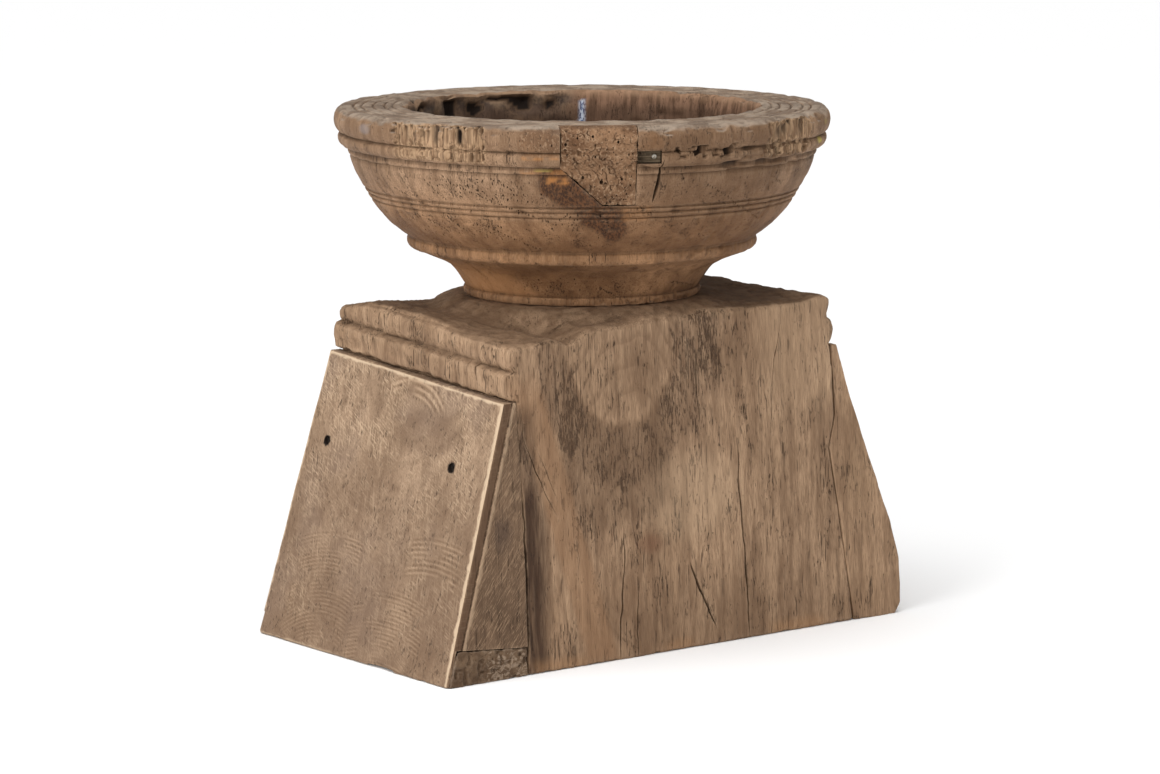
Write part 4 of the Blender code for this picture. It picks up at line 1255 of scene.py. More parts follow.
# %% Turning the bowl
def turn_bowl(turns=360):
    mesh = bpy.data.meshes.new("turned_bowl")
    corners = [(radius, 0.0, z) for radius, z in SECTION]
    mesh.from_pydata(corners, [(i, i + 1) for i in range(len(corners) - 1)], [])
    bowl = bpy.data.objects.new("turned_bowl", mesh)
    bpy.context.scene.collection.objects.link(bowl)
    choose(bowl)
    lathe = bowl.modifiers.new("lathe", "SCREW")
    lathe.steps = lathe.render_steps = turns
    lathe.use_merge_vertices = True
    bpy.ops.object.modifier_apply(modifier=lathe.name)
    bpy.ops.object.mode_set(mode="EDIT")
    bpy.ops.mesh.select_all(action="SELECT")
    bpy.ops.mesh.remove_doubles(threshold=0.00001)
    bpy.ops.mesh.normals_make_consistent(inside=False)
    bpy.ops.object.mode_set(mode="OBJECT")
    places = points_of(bowl)
    radius = np.hypot(places[:, 0], places[:, 1])
    angle = (np.arctan2(places[:, 1], places[:, 0]) - NEAR_SIDE + np.pi) % (2 * np.pi)
    angle = NEAR_SIDE + np.interp(angle, np.linspace(0, 2 * np.pi, turns + 1),
                                  spread(-np.pi, np.pi, turns, ((0.0, 1.15, 2.0),)))
    places[:, 0], places[:, 1] = radius * np.cos(angle), radius * np.sin(angle)
    move_points(bowl, places)
    return bowl


def round_about(places):
    """Radius, angle in degrees right of the near side (-180 to 180), and height of each place."""
    angle = np.degrees(np.arctan2(places[:, 1], places[:, 0]) - NEAR_SIDE)
    return np.hypot(places[:, 0], places[:, 1]), (angle + 180.0) % 360.0 - 180.0, places[:, 2]


def refine(piece, chosen):
    """Halves the grid where chosen points lie, for finer damage."""
    choose(piece)
    bpy.ops.object.mode_set(mode="EDIT")
    bpy.ops.mesh.select_mode(type="VERT")
    bpy.ops.mesh.select_all(action="DESELECT")
    shell = bmesh.from_edit_mesh(piece.data)
    for vertex in shell.verts:
        vertex.select_set(bool(chosen[vertex.index]))
    shell.select_flush(True)
    bmesh.update_edit_mesh(piece.data)
    bpy.ops.mesh.subdivide(number_cuts=1)
    bpy.ops.object.mode_set(mode="OBJECT")


bowl = turn_bowl()
radius, angle, z = round_about(points_of(bowl))
refine(bowl, (radius > 0.205) & (z > 0.4440) & (z < 0.4817) &
       (((angle > -50) & (angle < -20)) | ((angle > 14) & (angle < 36)) | ((angle > 45) & (angle < 72))))

# %% [markdown]
# ### Wear on the bowl
#
# The rim has been knocked for a lifetime. Where the roll broke away, the fibres stand bare in upright
# ridges, so each broken place has a ceiling: no point may lie farther out than a ridged wall. The
# far wall inside has rotted into cavities, and the foot bead has crumbled on the near right.


# %% Wearing the bowl
# each broken place of the roll: first and last angle, lowest and highest point, radius of its wall
BROKEN_ROLL = ((-47.0, -37.5, 0.4590, 0.4800, 0.2222), (-39.0, -23.0, 0.4480, 0.4795, 0.2206),
               (47.5, 65.5, 0.4560, 0.4800, 0.2222), (50.0, 64.0, 0.4470, 0.4600, 0.2195))


def worn_bowl(bowl):
    places = points_of(bowl)
    normals = normals_of(bowl)
    radius, angle, z = round_about(places)
    outer = (radius > 0.105) & (normals[:, 2] < 0.9) & ~((radius < 0.1625) & (z > 0.380))
    inner = (radius < 0.1625) & (z > 0.380)
    fibres = noise(places, (0.0026, 0.0026, 0.030), 401)
    wear = 0.0005 * rough(places, (0.110, 0.110, 0.200), 411)
    wear += 0.00030 * rough(places, (0.013, 0.013, 0.016), 415)
    wear -= outer * 0.0008 * np.clip(noise(places, (0.0032, 0.0032, 0.020), 421) - 0.30, 0.0, 1.0)
    wear -= outer * 0.0010 * rise(noise(places, (0.009, 0.009, 0.014), 425), 0.45, 0.75)
    on_top = rise(normals[:, 2], 0.7, 0.95) * (radius > 0.16)
    wear += on_top * 0.00035 * rough(places, 0.010, 431)
    wear -= on_top * 0.0009 * rise(noise(places, 0.014, 435), 0.35, 0.70)
    edge = between(z, 0.4755, 0.4830, 0.003) * (radius > 0.217)
    wear -= edge * 0.0016 * rise(noise(places, 0.010, 441), 0.1, 0.6)
    waist = between(z, 0.3550, 0.3640, 0.002) * (radius > 0.150) * outer
    wear -= waist * 0.0020 * np.clip(noise(places, (0.0060, 0.0060, 0.030), 445) - 0.15, 0.0, 1.0)
    pitted = between(angle, 22.0, 36.0, 2.0) * between(z, 0.4535, 0.4625, 0.002) * outer
    wear -= pitted * 0.0055 * rise(noise(places, (0.0045, 0.0045, 0.0060), 451), 0.0, 0.5)
    crushed = between(angle, 36.0, 66.0, 3.0) * between(z, 0.440, 0.458, 0.003) * outer
    wear -= crushed * 0.0018 * rise(noise(places, (0.012, 0.012, 0.005), 455), -0.2, 0.4)
    rotten = inner * between(z, 0.425, 0.474, 0.006) * between(np.abs(angle), 98.0, 181.0, 10.0) * (angle < 0)
    wear -= rotten * 0.0080 * rise(noise(places, (0.017, 0.017, 0.012), 461), -0.15, 0.75)
    wear -= inner * 0.0010 * np.clip(noise(places, (0.0050, 0.0050, 0.040), 465), 0.0, 1.0) * (z > 0.400)
    wear -= inner * 0.0030 * rise(noise(places, 0.011, 467), 0.30, 0.70) * (z > 0.400)
    places += normals * wear[:, None]

    radius, angle, z = round_about(places)
    ceiling = np.full(len(places), 1.0)
    ridges = 0.0028 * fibres + 0.0026 * noise(places, (0.008, 0.008, 0.040), 471)
    for first, last, low_z, high_z, wall in BROKEN_ROLL:
        ragged = 1.5 * noise(places, (0.5, 0.5, 0.004), 475)
        weight = between(angle + ragged, first, last, 1.6) * between(z + 1.2 * ridges, low_z, high_z, 0.0012)
        ceiling = np.minimum(ceiling, wall + ridges + (1.0 - weight) * 0.010)
    crumbled = between(angle, 8.0, 62.0, 5.0) * outer * (z < 0.3190)
    foot_wall = 0.1078 + 0.0012 * noise(places, (0.005, 0.005, 0.004), 481)
    ceiling = np.where(crumbled > 0.5, np.minimum(ceiling, foot_wall), ceiling)
    shrink = np.minimum(radius, ceiling) / np.maximum(radius, 1e-9)
    shrink = np.where(outer, shrink, 1.0)
    places[:, 0] *= shrink
    places[:, 1] *= shrink
    ragged_mouth = between(radius, 0.155, 0.1650, 0.0015) * (z > 0.470)
    drop = 0.0022 * rise(noise(places, (0.012, 0.012, 0.2), 485), -0.1, 0.7)
    caved = between(angle, -112.0, -82.0, 7.0) * rise(noise(places, (0.010, 0.010, 0.2), 487), -0.5, 0.5)
    drop += 0.0050 * caved
    places[:, 2] -= ragged_mouth * drop
    places[:, 2] = np.minimum(places[:, 2], RIM_TOP + 0.0004)
    move_points(bowl, places)


worn_bowl(bowl)

# %% [markdown]
# ### Beds, cracks and worm holes
#
# The patch and the key lie in beds that were chiselled straight in from the front, so each bed is a
# prism. Worm holes and open pores are small spindles; as with the cracks, one cutter holds them all.

# %% Beds for the patch and the key
REPAIR_TURN = math.radians(-34.0)
PATCH_LEFT = -0.0345
PATCH_RIGHT = 0.0330
PATCH_TIP = 0.0040
PATCH_SLANT = RIM_TOP - 0.0360
PATCH_FOOT = RIM_TOP - 0.0710
PATCH_BED_TOP = 0.2015
PATCH_BED_FOOT = 0.1801
KEY_RIGHT = 0.0540
KEY_TOP = RIM_TOP - 0.0215
KEY_FOOT = KEY_TOP - 0.0110
KEY_FACE = 0.2085
KEY_THICK = 0.0140
NAIL_X = 0.0480
NAIL_HOLE = 0.0013
CLEAR_OF_RIM = 0.250


def from_repair_frame(across, forward, z):
    """Object coordinates of places given across and in front of the repairs' centre line."""
    cosine, sine = math.cos(REPAIR_TURN), math.sin(REPAIR_TURN)
    return np.stack((across * cosine + forward * sine, across * sine - forward * cosine, z), axis=-1)


def patch_bed(z):
    share = (RIM_TOP - z) / (RIM_TOP - PATCH_FOOT)
    return PATCH_BED_TOP + (PATCH_BED_FOOT - PATCH_BED_TOP) * share


def bed_prism(outline, bed):
    """A closed prism that runs in from the front to the bed, which may slope with height."""
    return prism([from_repair_frame(across, CLEAR_OF_RIM, z) for across, z in outline],
                 [from_repair_frame(across, bed(z), z) for across, z in outline])


PATCH_OUTLINE = ((PATCH_LEFT, RIM_TOP + 0.02), (PATCH_LEFT, PATCH_SLANT), (PATCH_TIP, PATCH_FOOT),
                 (PATCH_RIGHT, PATCH_FOOT), (PATCH_RIGHT, RIM_TOP + 0.02))
KEY_OUTLINE = ((PATCH_RIGHT - 0.001, KEY_FOOT - FIT), (KEY_RIGHT + FIT, KEY_FOOT - FIT),
               (KEY_RIGHT + FIT, KEY_TOP + FIT), (PATCH_RIGHT - 0.001, KEY_TOP + FIT))
cut(bowl, cutter_of("patch_bed", [bed_prism(PATCH_OUTLINE, patch_bed)]))
cut(bowl, cutter_of("key_bed", [bed_prism(KEY_OUTLINE, lambda z: KEY_FACE - KEY_THICK - FIT)]))
NAIL_Z = (KEY_TOP + KEY_FOOT) / 2
nail_line = [from_repair_frame(NAIL_X, forward, NAIL_Z) for forward in (0.240, KEY_FACE - 0.0263)]
cut(bowl, rod("nail_hole", NAIL_HOLE, *nail_line, 16))


# %% Cracks and pits in the bowl
def pit(place, outward, wide, tall, deep, sides=7):
    """A closed spindle that makes a small hole: wide across, tall along the fibres."""
    outward = outward / np.linalg.norm(outward)
    up = np.array((0.0, 0.0, 1.0)) - outward * outward[2]
    up = up / np.linalg.norm(up)
    across = np.cross(up, outward)
    points = []
    for level, share in ((0.0015, 1.0), (-0.45 * deep, 0.85)):
        for i in range(sides):
            turn = 2 * math.pi * i / sides
            ring = across * wide * math.cos(turn) + up * tall * math.sin(turn)
            points.append(place + outward * level + share * ring)
    points.append(place - outward * deep)
    faces = [tuple(range(sides))]
    faces += [(i, sides + i, sides + (i + 1) % sides, (i + 1) % sides) for i in range(sides)]
    faces += [(sides + i, 2 * sides, sides + (i + 1) % sides) for i in range(sides)]
    return points, faces


def bowl_crack(route, width, depth, seed, wander):
    """A crack along (angle, height) stops on the bowl's outside."""
    line = [on_bowl(*stop)[0] for stop in route]
    return blade(line, on_bowl(*route[len(route) // 2])[1], width, depth, seed, wander, steps=16)


def random_pit(place, outward, widths, stretch, depths):
    """A pit with a random width, height and depth, each drawn between two limits."""
    size = chance.uniform(*widths)
    return pit(place, outward, size, size * chance.uniform(*stretch), chance.uniform(*depths))


PORE_ROWS = (((-41.3, 0.429), (-34.7, 0.4065)), ((-33.3, 0.428), (-20.9, 0.411), (-8.0, 0.395)),
             ((-26.7, 0.390), (-12.6, 0.368)), ((31.7, 0.428), (45.2, 0.404), (58.0, 0.388)),
             ((8.2, 0.328), (24.0, 0.311)), ((44.0, 0.330), (66.0, 0.322)), ((-38.8, 0.398), (-35.0, 0.386)),
             ((-54.2, 0.418), (-44.7, 0.4055)), ((-48.0, 0.395), (-40.0, 0.382)),
             ((-22.0, 0.434), (-16.0, 0.424)), ((52.0, 0.432), (60.0, 0.420)))
# each zone of scattered pores: first and last angle, lowest and highest, how many
ZONES = ((-40.0, -12.0, 0.414, 0.436, 60), (-50.0, -22.0, 0.376, 0.398, 44), (-8.0, 9.0, 0.388, 0.404, 40),
         (-28.0, 0.0, 0.320, 0.338, 36), (24.0, 36.0, 0.4530, 0.4625, 22), (-60.0, 70.0, 0.372, 0.436, 70),
         (-60.0, 70.0, 0.462, 0.478, 50))
chance = np.random.default_rng(7)
pits = []
for row in PORE_ROWS:
    stops = np.asarray(row)
    length = math.hypot(math.radians(stops[-1, 0] - stops[0, 0]) * 0.195, stops[-1, 1] - stops[0, 1])
    for share in np.arange(0.0, 1.0, 0.0030 / length):
        share = share + chance.uniform(-0.0008, 0.0008) / length
        degrees, height = (np.interp(share * (len(row) - 1), range(len(row)), column) for column in stops.T)
        place, outward = on_bowl(degrees, height + chance.uniform(-0.0007, 0.0007))
        pits.append(random_pit(place, outward, (0.0004, 0.0008), (1.2, 2.6), (0.0012, 0.0024)))
for first, last, low_z, high_z, count in ZONES:
    for _ in range(count):
        place, outward = on_bowl(chance.uniform(first, last), chance.uniform(low_z, high_z))
        pits.append(random_pit(place, outward, (0.0003, 0.0008), (1.0, 2.2), (0.0010, 0.0022)))
cut(bowl, cutter_of("pores", pits[0::2]))
cut(bowl, cutter_of("more_pores", pits[1::2]))
# each crack: its stops as (angle, height), width and depth
BOWL_CRACKS = (
    (((18.6, 0.4530), (18.3, 0.438), (17.6, 0.4135)), 0.0046, 0.013),
    (((66.0, 0.4806), (66.3, 0.470), (66.6, 0.4600)), 0.0026, 0.010),
    (((67.3, 0.4600), (67.4, 0.4560), (67.0, 0.4500)), 0.0052, 0.009),
    (((-40.6, 0.4800), (-40.4, 0.4710), (-40.8, 0.4600)), 0.0026, 0.007),
    (((-33.4, 0.4790), (-33.0, 0.4620), (-33.3, 0.4500)), 0.0014, 0.006),
    (((-29.3, 0.4600), (-29.2, 0.4480)), 0.0018, 0.005),
    (((29.0, 0.4410), (29.3, 0.4300)), 0.0010, 0.004),
    (((31.0, 0.4400), (31.4, 0.4240)), 0.0009, 0.004),
    (((-33.6, 0.4440), (-33.5, 0.4200), (-33.8, 0.4060)), 0.0010, 0.004),
    (((27.5, 0.4795), (29.5, 0.4740)), 0.0010, 0.004),
    (((150.0, 0.4740), (151.0, 0.4300)), 0.0016, 0.010),
    (((-140.0, 0.4380), (-141.0, 0.3900)), 0.0014, 0.008),
)
bowl_blades = []
for i, (route, width, depth) in enumerate(BOWL_CRACKS):
    wander = 0.0004 if i == 0 else 0.0006
    bowl_blades.append(bowl_crack(route, width, depth, 501 + i, wander))
cut(bowl, cutter_of("bowl_cracks", bowl_blades))
print("bowl cut:", len(bowl.data.vertices), "points")


# %% The bowl's marks
def bowl_marks(piece):
    places = points_of(piece)
    normals = normals_of(piece)
    radius, angle, z = round_about(places)
    inside = (radius < 0.1640) & (z > 0.382) & (normals[:, 2] < 0.93)
    inside |= (radius < 0.150) & (z > 0.382)
    outer = ~inside & (z > 0.320)
    mark_relief(piece)
    mark(piece, "top", rise(normals[:, 2], 0.45, 0.85) * (z > 0.470) * ~inside)
    mark(piece, "inside", inside)
    cloud = noise(places, 0.016, 521)
    arc = 0.0035 * angle
    along_stain = np.clip(((arc + 0.022) * 0.052 - (z - 0.432) * 0.042) / (0.052 ** 2 + 0.042 ** 2), 0.0, 1.0)
    from_stain = np.hypot(arc + 0.022 - 0.052 * along_stain, z - 0.432 + 0.042 * along_stain)
    rust = 1.0 - rise(from_stain + 0.006 * cloud + 0.002 * noise(places, 0.004, 523), 0.010, 0.019)
    mark(piece, "rust", rust * outer * (z < 0.448))
    fresh = strongest(0.75 * window(angle, z, (-13.0, -5.6, 1.0), (0.4535, 0.4575, 0.0012)),
                      window(angle, z, (-8.0, -3.4, 0.8), (0.4310, 0.4370, 0.0012)),
                      0.5 * window(angle, z, (-14.0, -3.0, 1.0), (0.4400, 0.4440, 0.0010)),
                      0.10 * window(angle, z, (11.5, 18.0, 1.0), (0.4640, 0.4760, 0.003)),
                      0.30 * window(angle, z, (11.0, 17.0, 1.5), (0.3980, 0.4090, 0.003)))
    mark(piece, "fresh", fresh * outer * rise(noise(places, (0.005, 0.005, 0.0025), 525), -0.7, 0.1))
    bare = strongest(window(angle, z, (-47.0, -23.0, 2.0), (0.4495, 0.4800, 0.002)),
                     window(angle, z, (48.0, 65.5, 2.0), (0.4500, 0.4800, 0.002)))
    mark(piece, "bare", bare * outer * (radius < 0.2248))
    chip = 1.0 - rise(np.abs(angle + 3.3) / 1.5 + np.abs(z - 0.4470) / 0.0042, 0.7, 1.0)
    mark(piece, "pale_chip", chip * outer)
    yellow = strongest(spot(angle, z, (74.0, 0.4555), (2.2, 0.0035), 0.6, 1.1),
                       0.3 * spot(angle, z, (76.0, 0.4715), (1.8, 0.0032), 0.5, 1.1),
                       0.45 * window(angle, z, (-10.6, -7.6, 1.0), (0.4425, 0.4435, 0.0008)))
    mark(piece, "yellow", yellow * outer)
    from_bluish = np.hypot((angle + 58.5) / 2.6, (z - 0.4710) / 0.0050)
    bluish = 0.35 * (1.0 - rise(from_bluish + 0.3 * cloud, 0.5, 1.1))
    mark(piece, "bluish", bluish * outer)
    side = np.where(angle < 0, angle + 180.0, angle - 180.0)
    sliver = between(side + 0.5, -0.15, -0.10 + 75.0 * (0.4800 - z), 0.15)
    sliver *= (z > 0.440) * (np.abs(angle) > 90)
    mark(piece, "paint", sliver * inside)
    side_rot = rise(-angle + 14.0 * cloud, 0.0, 30.0) * rise(angle + 180.0 + 4.0 * cloud, 0.0, 6.0)
    on_wall = rise(z + 0.010 * cloud, 0.395, 0.440)
    mark(piece, "rot", inside * (0.5 * (1.0 - on_wall) + side_rot * on_wall))
    # painted shade over the lower part of the hollow
    mark(piece, "painted_hollow_shade", inside * (1.0 - rise(z + 0.004 * cloud, 0.460, 0.475)))
    mark(piece, "mouth", inside * rise(z + 0.002 * cloud, 0.4735, 0.4790))
    mark(piece, "eaten",
         outer * window(angle + 2.0 * cloud, z, (-12.5, -5.0, 1.5), (0.4560, 0.4790, 0.0015)))
    mark(piece, "face", outer * (z > 0.4595) * (radius > 0.214))
    # deep: painted near-black shade on points sunk well inside the outside, in cracks, holes and broken
    # places
    sunk = rise(outside_radius(z) - radius, 0.0040, 0.0085) * (normals[:, 2] < 0.8) * (z < 0.479)
    beside_key = (np.abs(angle - 18.3) < 1.6) | (np.abs(angle) > 26.0)
    mark(piece, "deep", outer * sunk * beside_key)
    # dark: painted shade on the right side away from the key light, the lower body and the neck under the
    # bowl; by_key is the rim's real dark patch
    on_neck = rise(angle, -42.0, -12.0) * (1.0 - 0.5 * rise(angle, 14.0, 34.0))
    by_key = window(angle + 3.0 * cloud, z + 0.003 * cloud, (14.0, 36.0, 3.0), (0.4590, 0.4740, 0.003))
    dark = strongest(0.65 * rise(angle, -46.0, 8.0) * (1.0 - 0.6 * rise(angle, 48.0, 66.0)) * (z > 0.366),
                     0.8 * (1.0 - rise(z, 0.366, 0.402)) * rise(z, 0.364, 0.367),
                     0.9 * (1.0 - rise(z, 0.350, 0.356)) * on_neck,
                     0.9 * by_key)
    mark(piece, "dark", dark * ~inside * (normals[:, 2] < 0.6) * (0.80 + 0.20 * cloud))
    # low: painted shade over the lower bowl, fading out from 370 to 440 mm high
    mark(piece, "low", (z > 0.300) * (1.0 - rise(z, 0.370, 0.440)) * ~inside)
    # painted light: the neck's lit left side coloured bright orange
    lit_side = 1.0 - rise(angle + 8.0 * cloud, -58.0, -4.0)
    mark(piece, "painted_neck_light", (z > 0.318) * (1.0 - rise(z, 0.340, 0.354)) * lit_side)


bowl_marks(bowl)


# %% The bowl's finish
RING_CENTRE = (-0.1335, 0.1767, 0.0)


def eaten_wood(finish):
    """Wood that beetles have tunnelled: dull brown, with pale worm paths and dark pinpricks."""
    broad = finish.pattern((40.0, 40.0, 40.0), 4.0, 0.65)
    fine = finish.pattern((480.0, 480.0, 300.0), 3.0, 0.6)
    colour = finish.mix(finish.fade(broad, 0.38, 0.64), (0.100, 0.048, 0.022), (0.205, 0.112, 0.058))
    worm = finish.pattern((330.0, 330.0, 250.0), 2.0, 0.5, 1.5)
    colour = finish.mix(finish.fade(worm, 0.56, 0.64, 0.0, 0.5), colour, (0.33, 0.215, 0.130))
    return finish.mix(finish.fade(fine, 0.58, 0.68, 0.0, 0.7), colour, DEEP)


def bowl_finish():
    finish = Finish("bowl_wood", 0.76)
    colour, normal = solid_wood(finish, ((0.380, 0.240, 0.145), (0.250, 0.152, 0.088), (0.125, 0.067, 0.034)),
                                RING_CENTRE, (0.0, 0.0, 0.0), 0.022, (0.625, 0.690))
    turned = finish.pattern((9.0, 9.0, 700.0), 2.0)
    colour = finish.mix(finish.fade(turned, 0.52, 0.75, 0.0, 0.30), colour, BROWN)
    # painted shade on the bowl's right side, lower body and neck, with the real dark patch by the key, and
    # painted light on the neck's lit side
    colour = finish.tinted(colour, ("dark", 0.70, (0.082, 0.038, 0.015)),
                           ("painted_neck_light", 0.55, (0.50, 0.285, 0.145)))
    # painted shade: the lower bowl multiplied darker
    colour = finish.mix(finish.mark("low"), colour, (0.94, 0.80, 0.64), "MULTIPLY")
    upright = finish.pattern((700.0, 700.0, 45.0), 2.0, 0.6)
    upright = finish.maths("MULTIPLY", finish.fade(upright, 0.48, 0.60), finish.mark("face"))
    colour = finish.mix(finish.maths("MULTIPLY", upright, 0.45), colour, BROWN)
    torn = finish.fade(finish.pattern((420.0, 420.0, 30.0), 3.0, 0.6), 0.40, 0.58)
    splintered = finish.mix(torn, (0.150, 0.082, 0.040), (0.430, 0.280, 0.160))
    colour = finish.tinted(colour, ("bare", 0.60, splintered))
    grey = finish.pattern((45.0, 45.0, 45.0), 4.0, 0.6)
    weathered = finish.mix(finish.fade(grey, 0.40, 0.62), (0.165, 0.120, 0.088), (0.320, 0.255, 0.195))
    colour = finish.tinted(colour, ("top", 0.85, weathered))
    streak = finish.pattern((160.0, 160.0, 14.0), 3.0, 0.6)
    within = finish.mix(finish.fade(streak, 0.38, 0.62), (0.100, 0.052, 0.028), (0.235, 0.130, 0.078))
    rotten = finish.mix(finish.fade(grey, 0.42, 0.60), (0.060, 0.040, 0.030), (0.235, 0.150, 0.090))
    within = finish.mix(finish.mark("rot"), within, rotten)
    # painted shade darkens the lower hollow
    within = finish.tinted(within, ("painted_hollow_shade", 0.75, (0.060, 0.030, 0.016)),
                           ("mouth", 0.45, (0.30, 0.175, 0.100)))
    colour = finish.mix(finish.mark("inside"), colour, within)
    fleck = finish.pattern((500.0, 500.0, 260.0), 3.0, 0.6)
    stained = finish.mix(finish.fade(fleck, 0.42, 0.60), (0.026, 0.009, 0.003), (0.095, 0.036, 0.012))
    colour = finish.tinted(colour, ("rust", 0.92, stained), ("fresh", 0.75, (0.36, 0.150, 0.042)),
                           ("eaten", 0.80, eaten_wood(finish)))
    colour = finish.mix(finish.mark("yellow"), colour, (0.42, 0.33, 0.085))
    colour = finish.mix(finish.mark("bluish"), colour, (0.22, 0.22, 0.235))
    colour = finish.mix(finish.mark("pale_chip"), colour, (0.62, 0.52, 0.38))
    colour = aged(finish, colour, 0.95, 0.40, (0.44, 0.31, 0.20))
    blue = finish.mix(finish.fade(fleck, 0.42, 0.56), (0.06, 0.09, 0.18), (0.45, 0.50, 0.58))
    colour = finish.mix(finish.mark("paint"), colour, blue)
    return finish.done(colour, normal)


show(bowl, "bowl", bowl_finish())

# %% [markdown]
# ## The patch and the key
#
# The patch was let in long ago and shaped to the rim on the spot, so its face follows the bowl, only
# softer. Beetles then ate it. It is a gridded cube bent between the bed and the bowl's outside, and
# its worm holes are cut like the pores.

# %% Shaping the patch
PATCH_FACE = ((0.4110, 0.2002), (0.4220, 0.2066), (0.4330, 0.2100), (0.4400, 0.2115), (0.4460, 0.2150),
              (0.4520, 0.2192), (0.4570, 0.2214), (0.4594, 0.2208), (0.4630, 0.2234), (0.4705, 0.2254),
              (0.50, 0.2254))


def shape_patch():
    patch = gridded_cube("worm_eaten_patch", (9, 12), (2, 5), (11, 10))
    size = np.array((0.0675, 0.0245, 0.0710))
    places = laid_out(patch, np.linspace(0.0, size[0], 109), np.linspace(0.0, size[1], 11),
                      spread(0.0, size[2], 110, ((size[2], 0.008, 1.5),)))
    places = rubbed_round(places, (0.0, 0.0, 0.0), size, 0.0009)
    across, depth, up = places.T
    over = 0.0105
    back, high = np.minimum(depth - over, 0.0), np.maximum(up - (size[2] - over), 0.0)
    length = np.hypot(back, high)
    pull = np.where((back < 0.0) & (high > 0.0) & (length > over), over / np.maximum(length, 1e-9), 1.0)
    depth = np.where(pull < 1.0, over + back * pull, depth)
    up = np.where(pull < 1.0, size[2] - over + high * pull, up)
    z = PATCH_FOOT + FIT + up * (RIM_TOP - PATCH_FOOT - FIT) / size[2]
    slant = np.clip((PATCH_SLANT - z) / (PATCH_SLANT - PATCH_FOOT), 0.0, 1.0)
    left = PATCH_LEFT + (PATCH_TIP - PATCH_LEFT) * slant + FIT * (1 + 0.5 * (slant > 0))
    x = left + across / size[0] * (PATCH_RIGHT - FIT - left)
    face = np.sqrt(np.interp(z, *zip(*PATCH_FACE)) ** 2 - x ** 2)
    bed = patch_bed(z) + FIT
    forward = face + depth / size[1] * (bed - face)
    places = from_repair_frame(x, forward, z)
    move_points(patch, places)
    normals = normals_of(patch)
    on_face = (depth < 0.6 * size[1])
    wear = 0.0006 * rough(places, 0.012, 531)
    wear += 0.00045 * rough(places, (0.0032, 0.0032, 0.0036), 535) - 0.0003
    worm = np.abs(noise(places, (0.0042, 0.0042, 0.0046), 541))
    tunnelled = rise(noise(places, (0.014, 0.014, 0.010), 543), -0.2, 0.3)
    wear -= 0.0012 * (1.0 - rise(worm, 0.03, 0.16)) * tunnelled
    wear -= 0.0016 * rise(noise(places, (0.0036, 0.0036, 0.0042), 545), 0.42, 0.70)
    places += normals * (wear * on_face)[:, None]
    places[:, 2] = np.minimum(places[:, 2], RIM_TOP)
    move_points(patch, places)
    return patch


patch = shape_patch()
holes = []
# each worm hole: angle, height and radius
HOLES = ((0.2, 0.4365, 0.0016), (9.5, 0.4352, 0.0012), (4.6, 0.4325, 0.0019), (4.4, 0.4540, 0.0017),
         (9.0, 0.4530, 0.0011), (11.6, 0.4295, 0.0010), (6.2, 0.4130, 0.0010), (3.0, 0.4560, 0.0011),
         (-3.6, 0.4665, 0.0015), (8.0, 0.4690, 0.0013), (2.4, 0.4740, 0.0012), (-1.0, 0.4725, 0.0010),
         (6.0, 0.4780, 0.0009))
for degrees, height, size in HOLES:
    holes.append(pit(*on_bowl(degrees, height), size, size * 1.25, 0.0060, 10))
for _ in range(90):
    height = chance.uniform(0.413, 0.479)
    reach_left = -5.8 + 11.5 * max(0.0, (PATCH_SLANT - height) / (PATCH_SLANT - PATCH_FOOT))
    place, outward = on_bowl(chance.uniform(reach_left + 0.8, 11.8), height)
    place = place - outward * 0.0004
    holes.append(random_pit(place, outward, (0.0003, 0.0009), (0.9, 1.8), (0.0012, 0.0026)))
cut(patch, cutter_of("worm_holes", holes[0::2]))
cut(patch, cutter_of("more_worm_holes", holes[1::2]))


# %% Shaping the key
def shape_key():
    key = gridded_cube("let_in_key", (5, 6), (2, 4), (4, 4))
    size = np.array((0.0210, KEY_THICK, 0.0110))
    places = rubbed_round((points_of(key) + 0.5) * size, (0.0, 0.0, 0.0), size, 0.0007)
    across, depth, up = places.T
    places = from_repair_frame(PATCH_RIGHT + across, KEY_FACE - depth, KEY_FOOT + up)
    move_points(key, places)
    normals = normals_of(key)
    grain = noise(np.stack((across, depth, up), axis=1), (0.012, 0.004, 0.0014), 551)
    wear = 0.0003 * grain - 0.0005 * rise(grain, 0.3, 0.6) - 0.0001
    wear -= 0.0006 * rise(noise(places, (0.003, 0.003, 0.002), 555), 0.35, 0.6)
    places += normals * (wear * (depth < 0.004))[:, None]
    move_points(key, places)
    return key


key = shape_key()
cut(key, rod("nail_hole", NAIL_HOLE, *nail_line, 16))


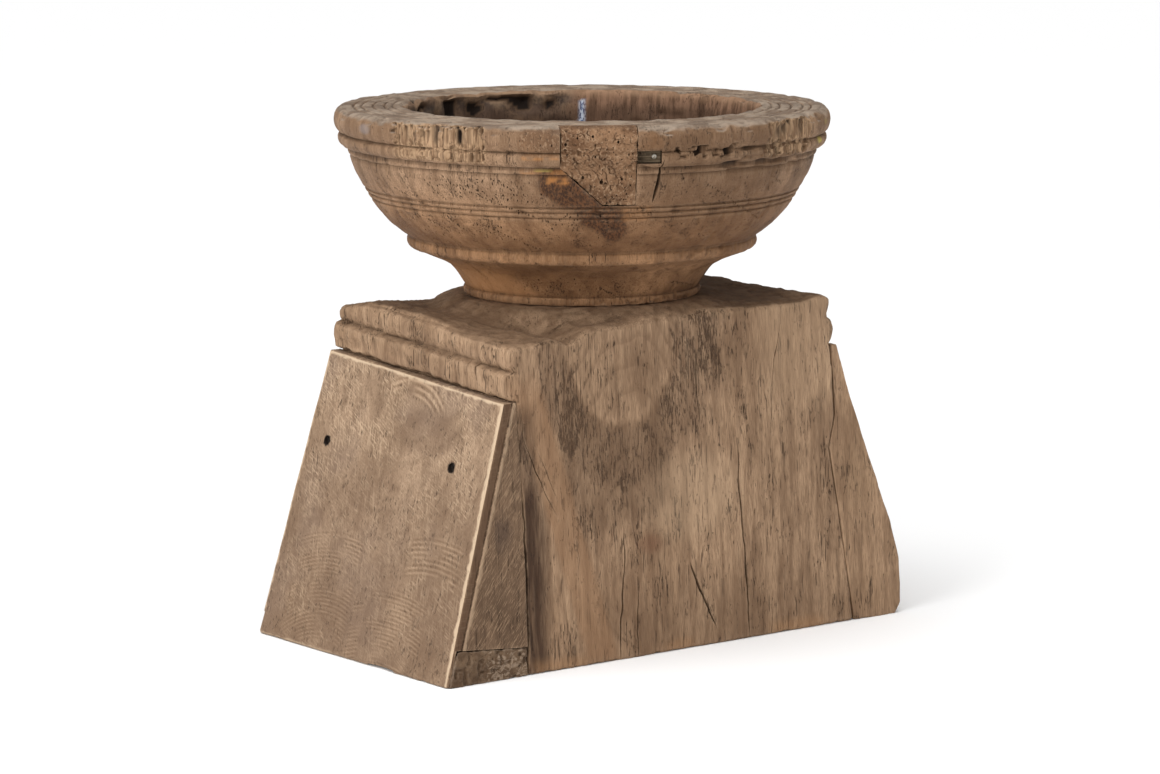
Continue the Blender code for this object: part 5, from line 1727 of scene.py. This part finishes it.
# %% Finishes of the repairs
def patch_finish():
    finish = Finish("patch_wood", 0.85)
    fine = finish.pattern((480.0, 480.0, 300.0), 3.0, 0.6)
    colour = eaten_wood(finish)
    return finish.done(aged(finish, colour, 0.95, 0.55, (0.43, 0.31, 0.20)), finish.bump(fine, 0.0006))


def key_finish():
    finish = Finish("key_wood", 0.75)
    lines = finish.pattern((60.0, 60.0, 1100.0), 2.0)
    colour = finish.mix(finish.fade(lines, 0.42, 0.62), (0.075, 0.052, 0.030), (0.165, 0.120, 0.075))
    return finish.done(aged(finish, colour, 0.8, 0.45, (0.26, 0.20, 0.13)), finish.bump(lines, 0.0004))


def steel_finish(name, roughness, metallic, bright, tarnished):
    finish = Finish(name, roughness)
    finish.shader.inputs["Metallic"].default_value = metallic
    tarnish = finish.pattern((700.0, 700.0, 700.0), 3.0)
    colour = finish.mix(finish.fade(tarnish, 0.40, 0.65), bright, tarnished)
    return finish.done(colour, finish.bump(tarnish, 0.0001))


def nail_finish():
    """A dull steel nail, rubbed bright on its head."""
    return steel_finish("nail_steel", 0.48, 0.60, (0.46, 0.43, 0.37), (0.20, 0.165, 0.12))


def painted_shade_screw_finish():
    """Screws coloured near black: painted shade for the bottom of their holes."""
    return steel_finish("screw_steel_painted_shade", 0.65, 0.50, (0.032, 0.026, 0.021), (0.016, 0.011, 0.008))


def peg_finish():
    finish = Finish("peg_wood", 0.70)
    colour, normal = solid_wood(finish, (TAN, TAN, BROWN), (0.0, 0.0, 0.0), (0.0, 1.57, 0.0), 0.003)
    return finish.done(colour, normal)


mark_relief(patch)
mark_relief(key)
show(patch, "rim_patch", patch_finish())
show(key, "rim_key", key_finish())

# %% [markdown]
# ## The metal and the dowels
#
# The two screws, the nail and the two dowels stay as they are in the frame: they are small, exact
# and mostly hidden. They only get a real finish.

# %% Finishing the fixings
# the screws' near-black finish is painted shade
FIXINGS = {"wedge_screw_rear": painted_shade_screw_finish, "wedge_screw_front": painted_shade_screw_finish, "rim_nail": nail_finish,
           "wedge_dowel_rear": peg_finish, "wedge_dowel_front": peg_finish}
made = {}
for node, maker in FIXINGS.items():
    if maker not in made:
        made[maker] = maker()
    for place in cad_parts[node].material_slots:
        place.material = made[maker]
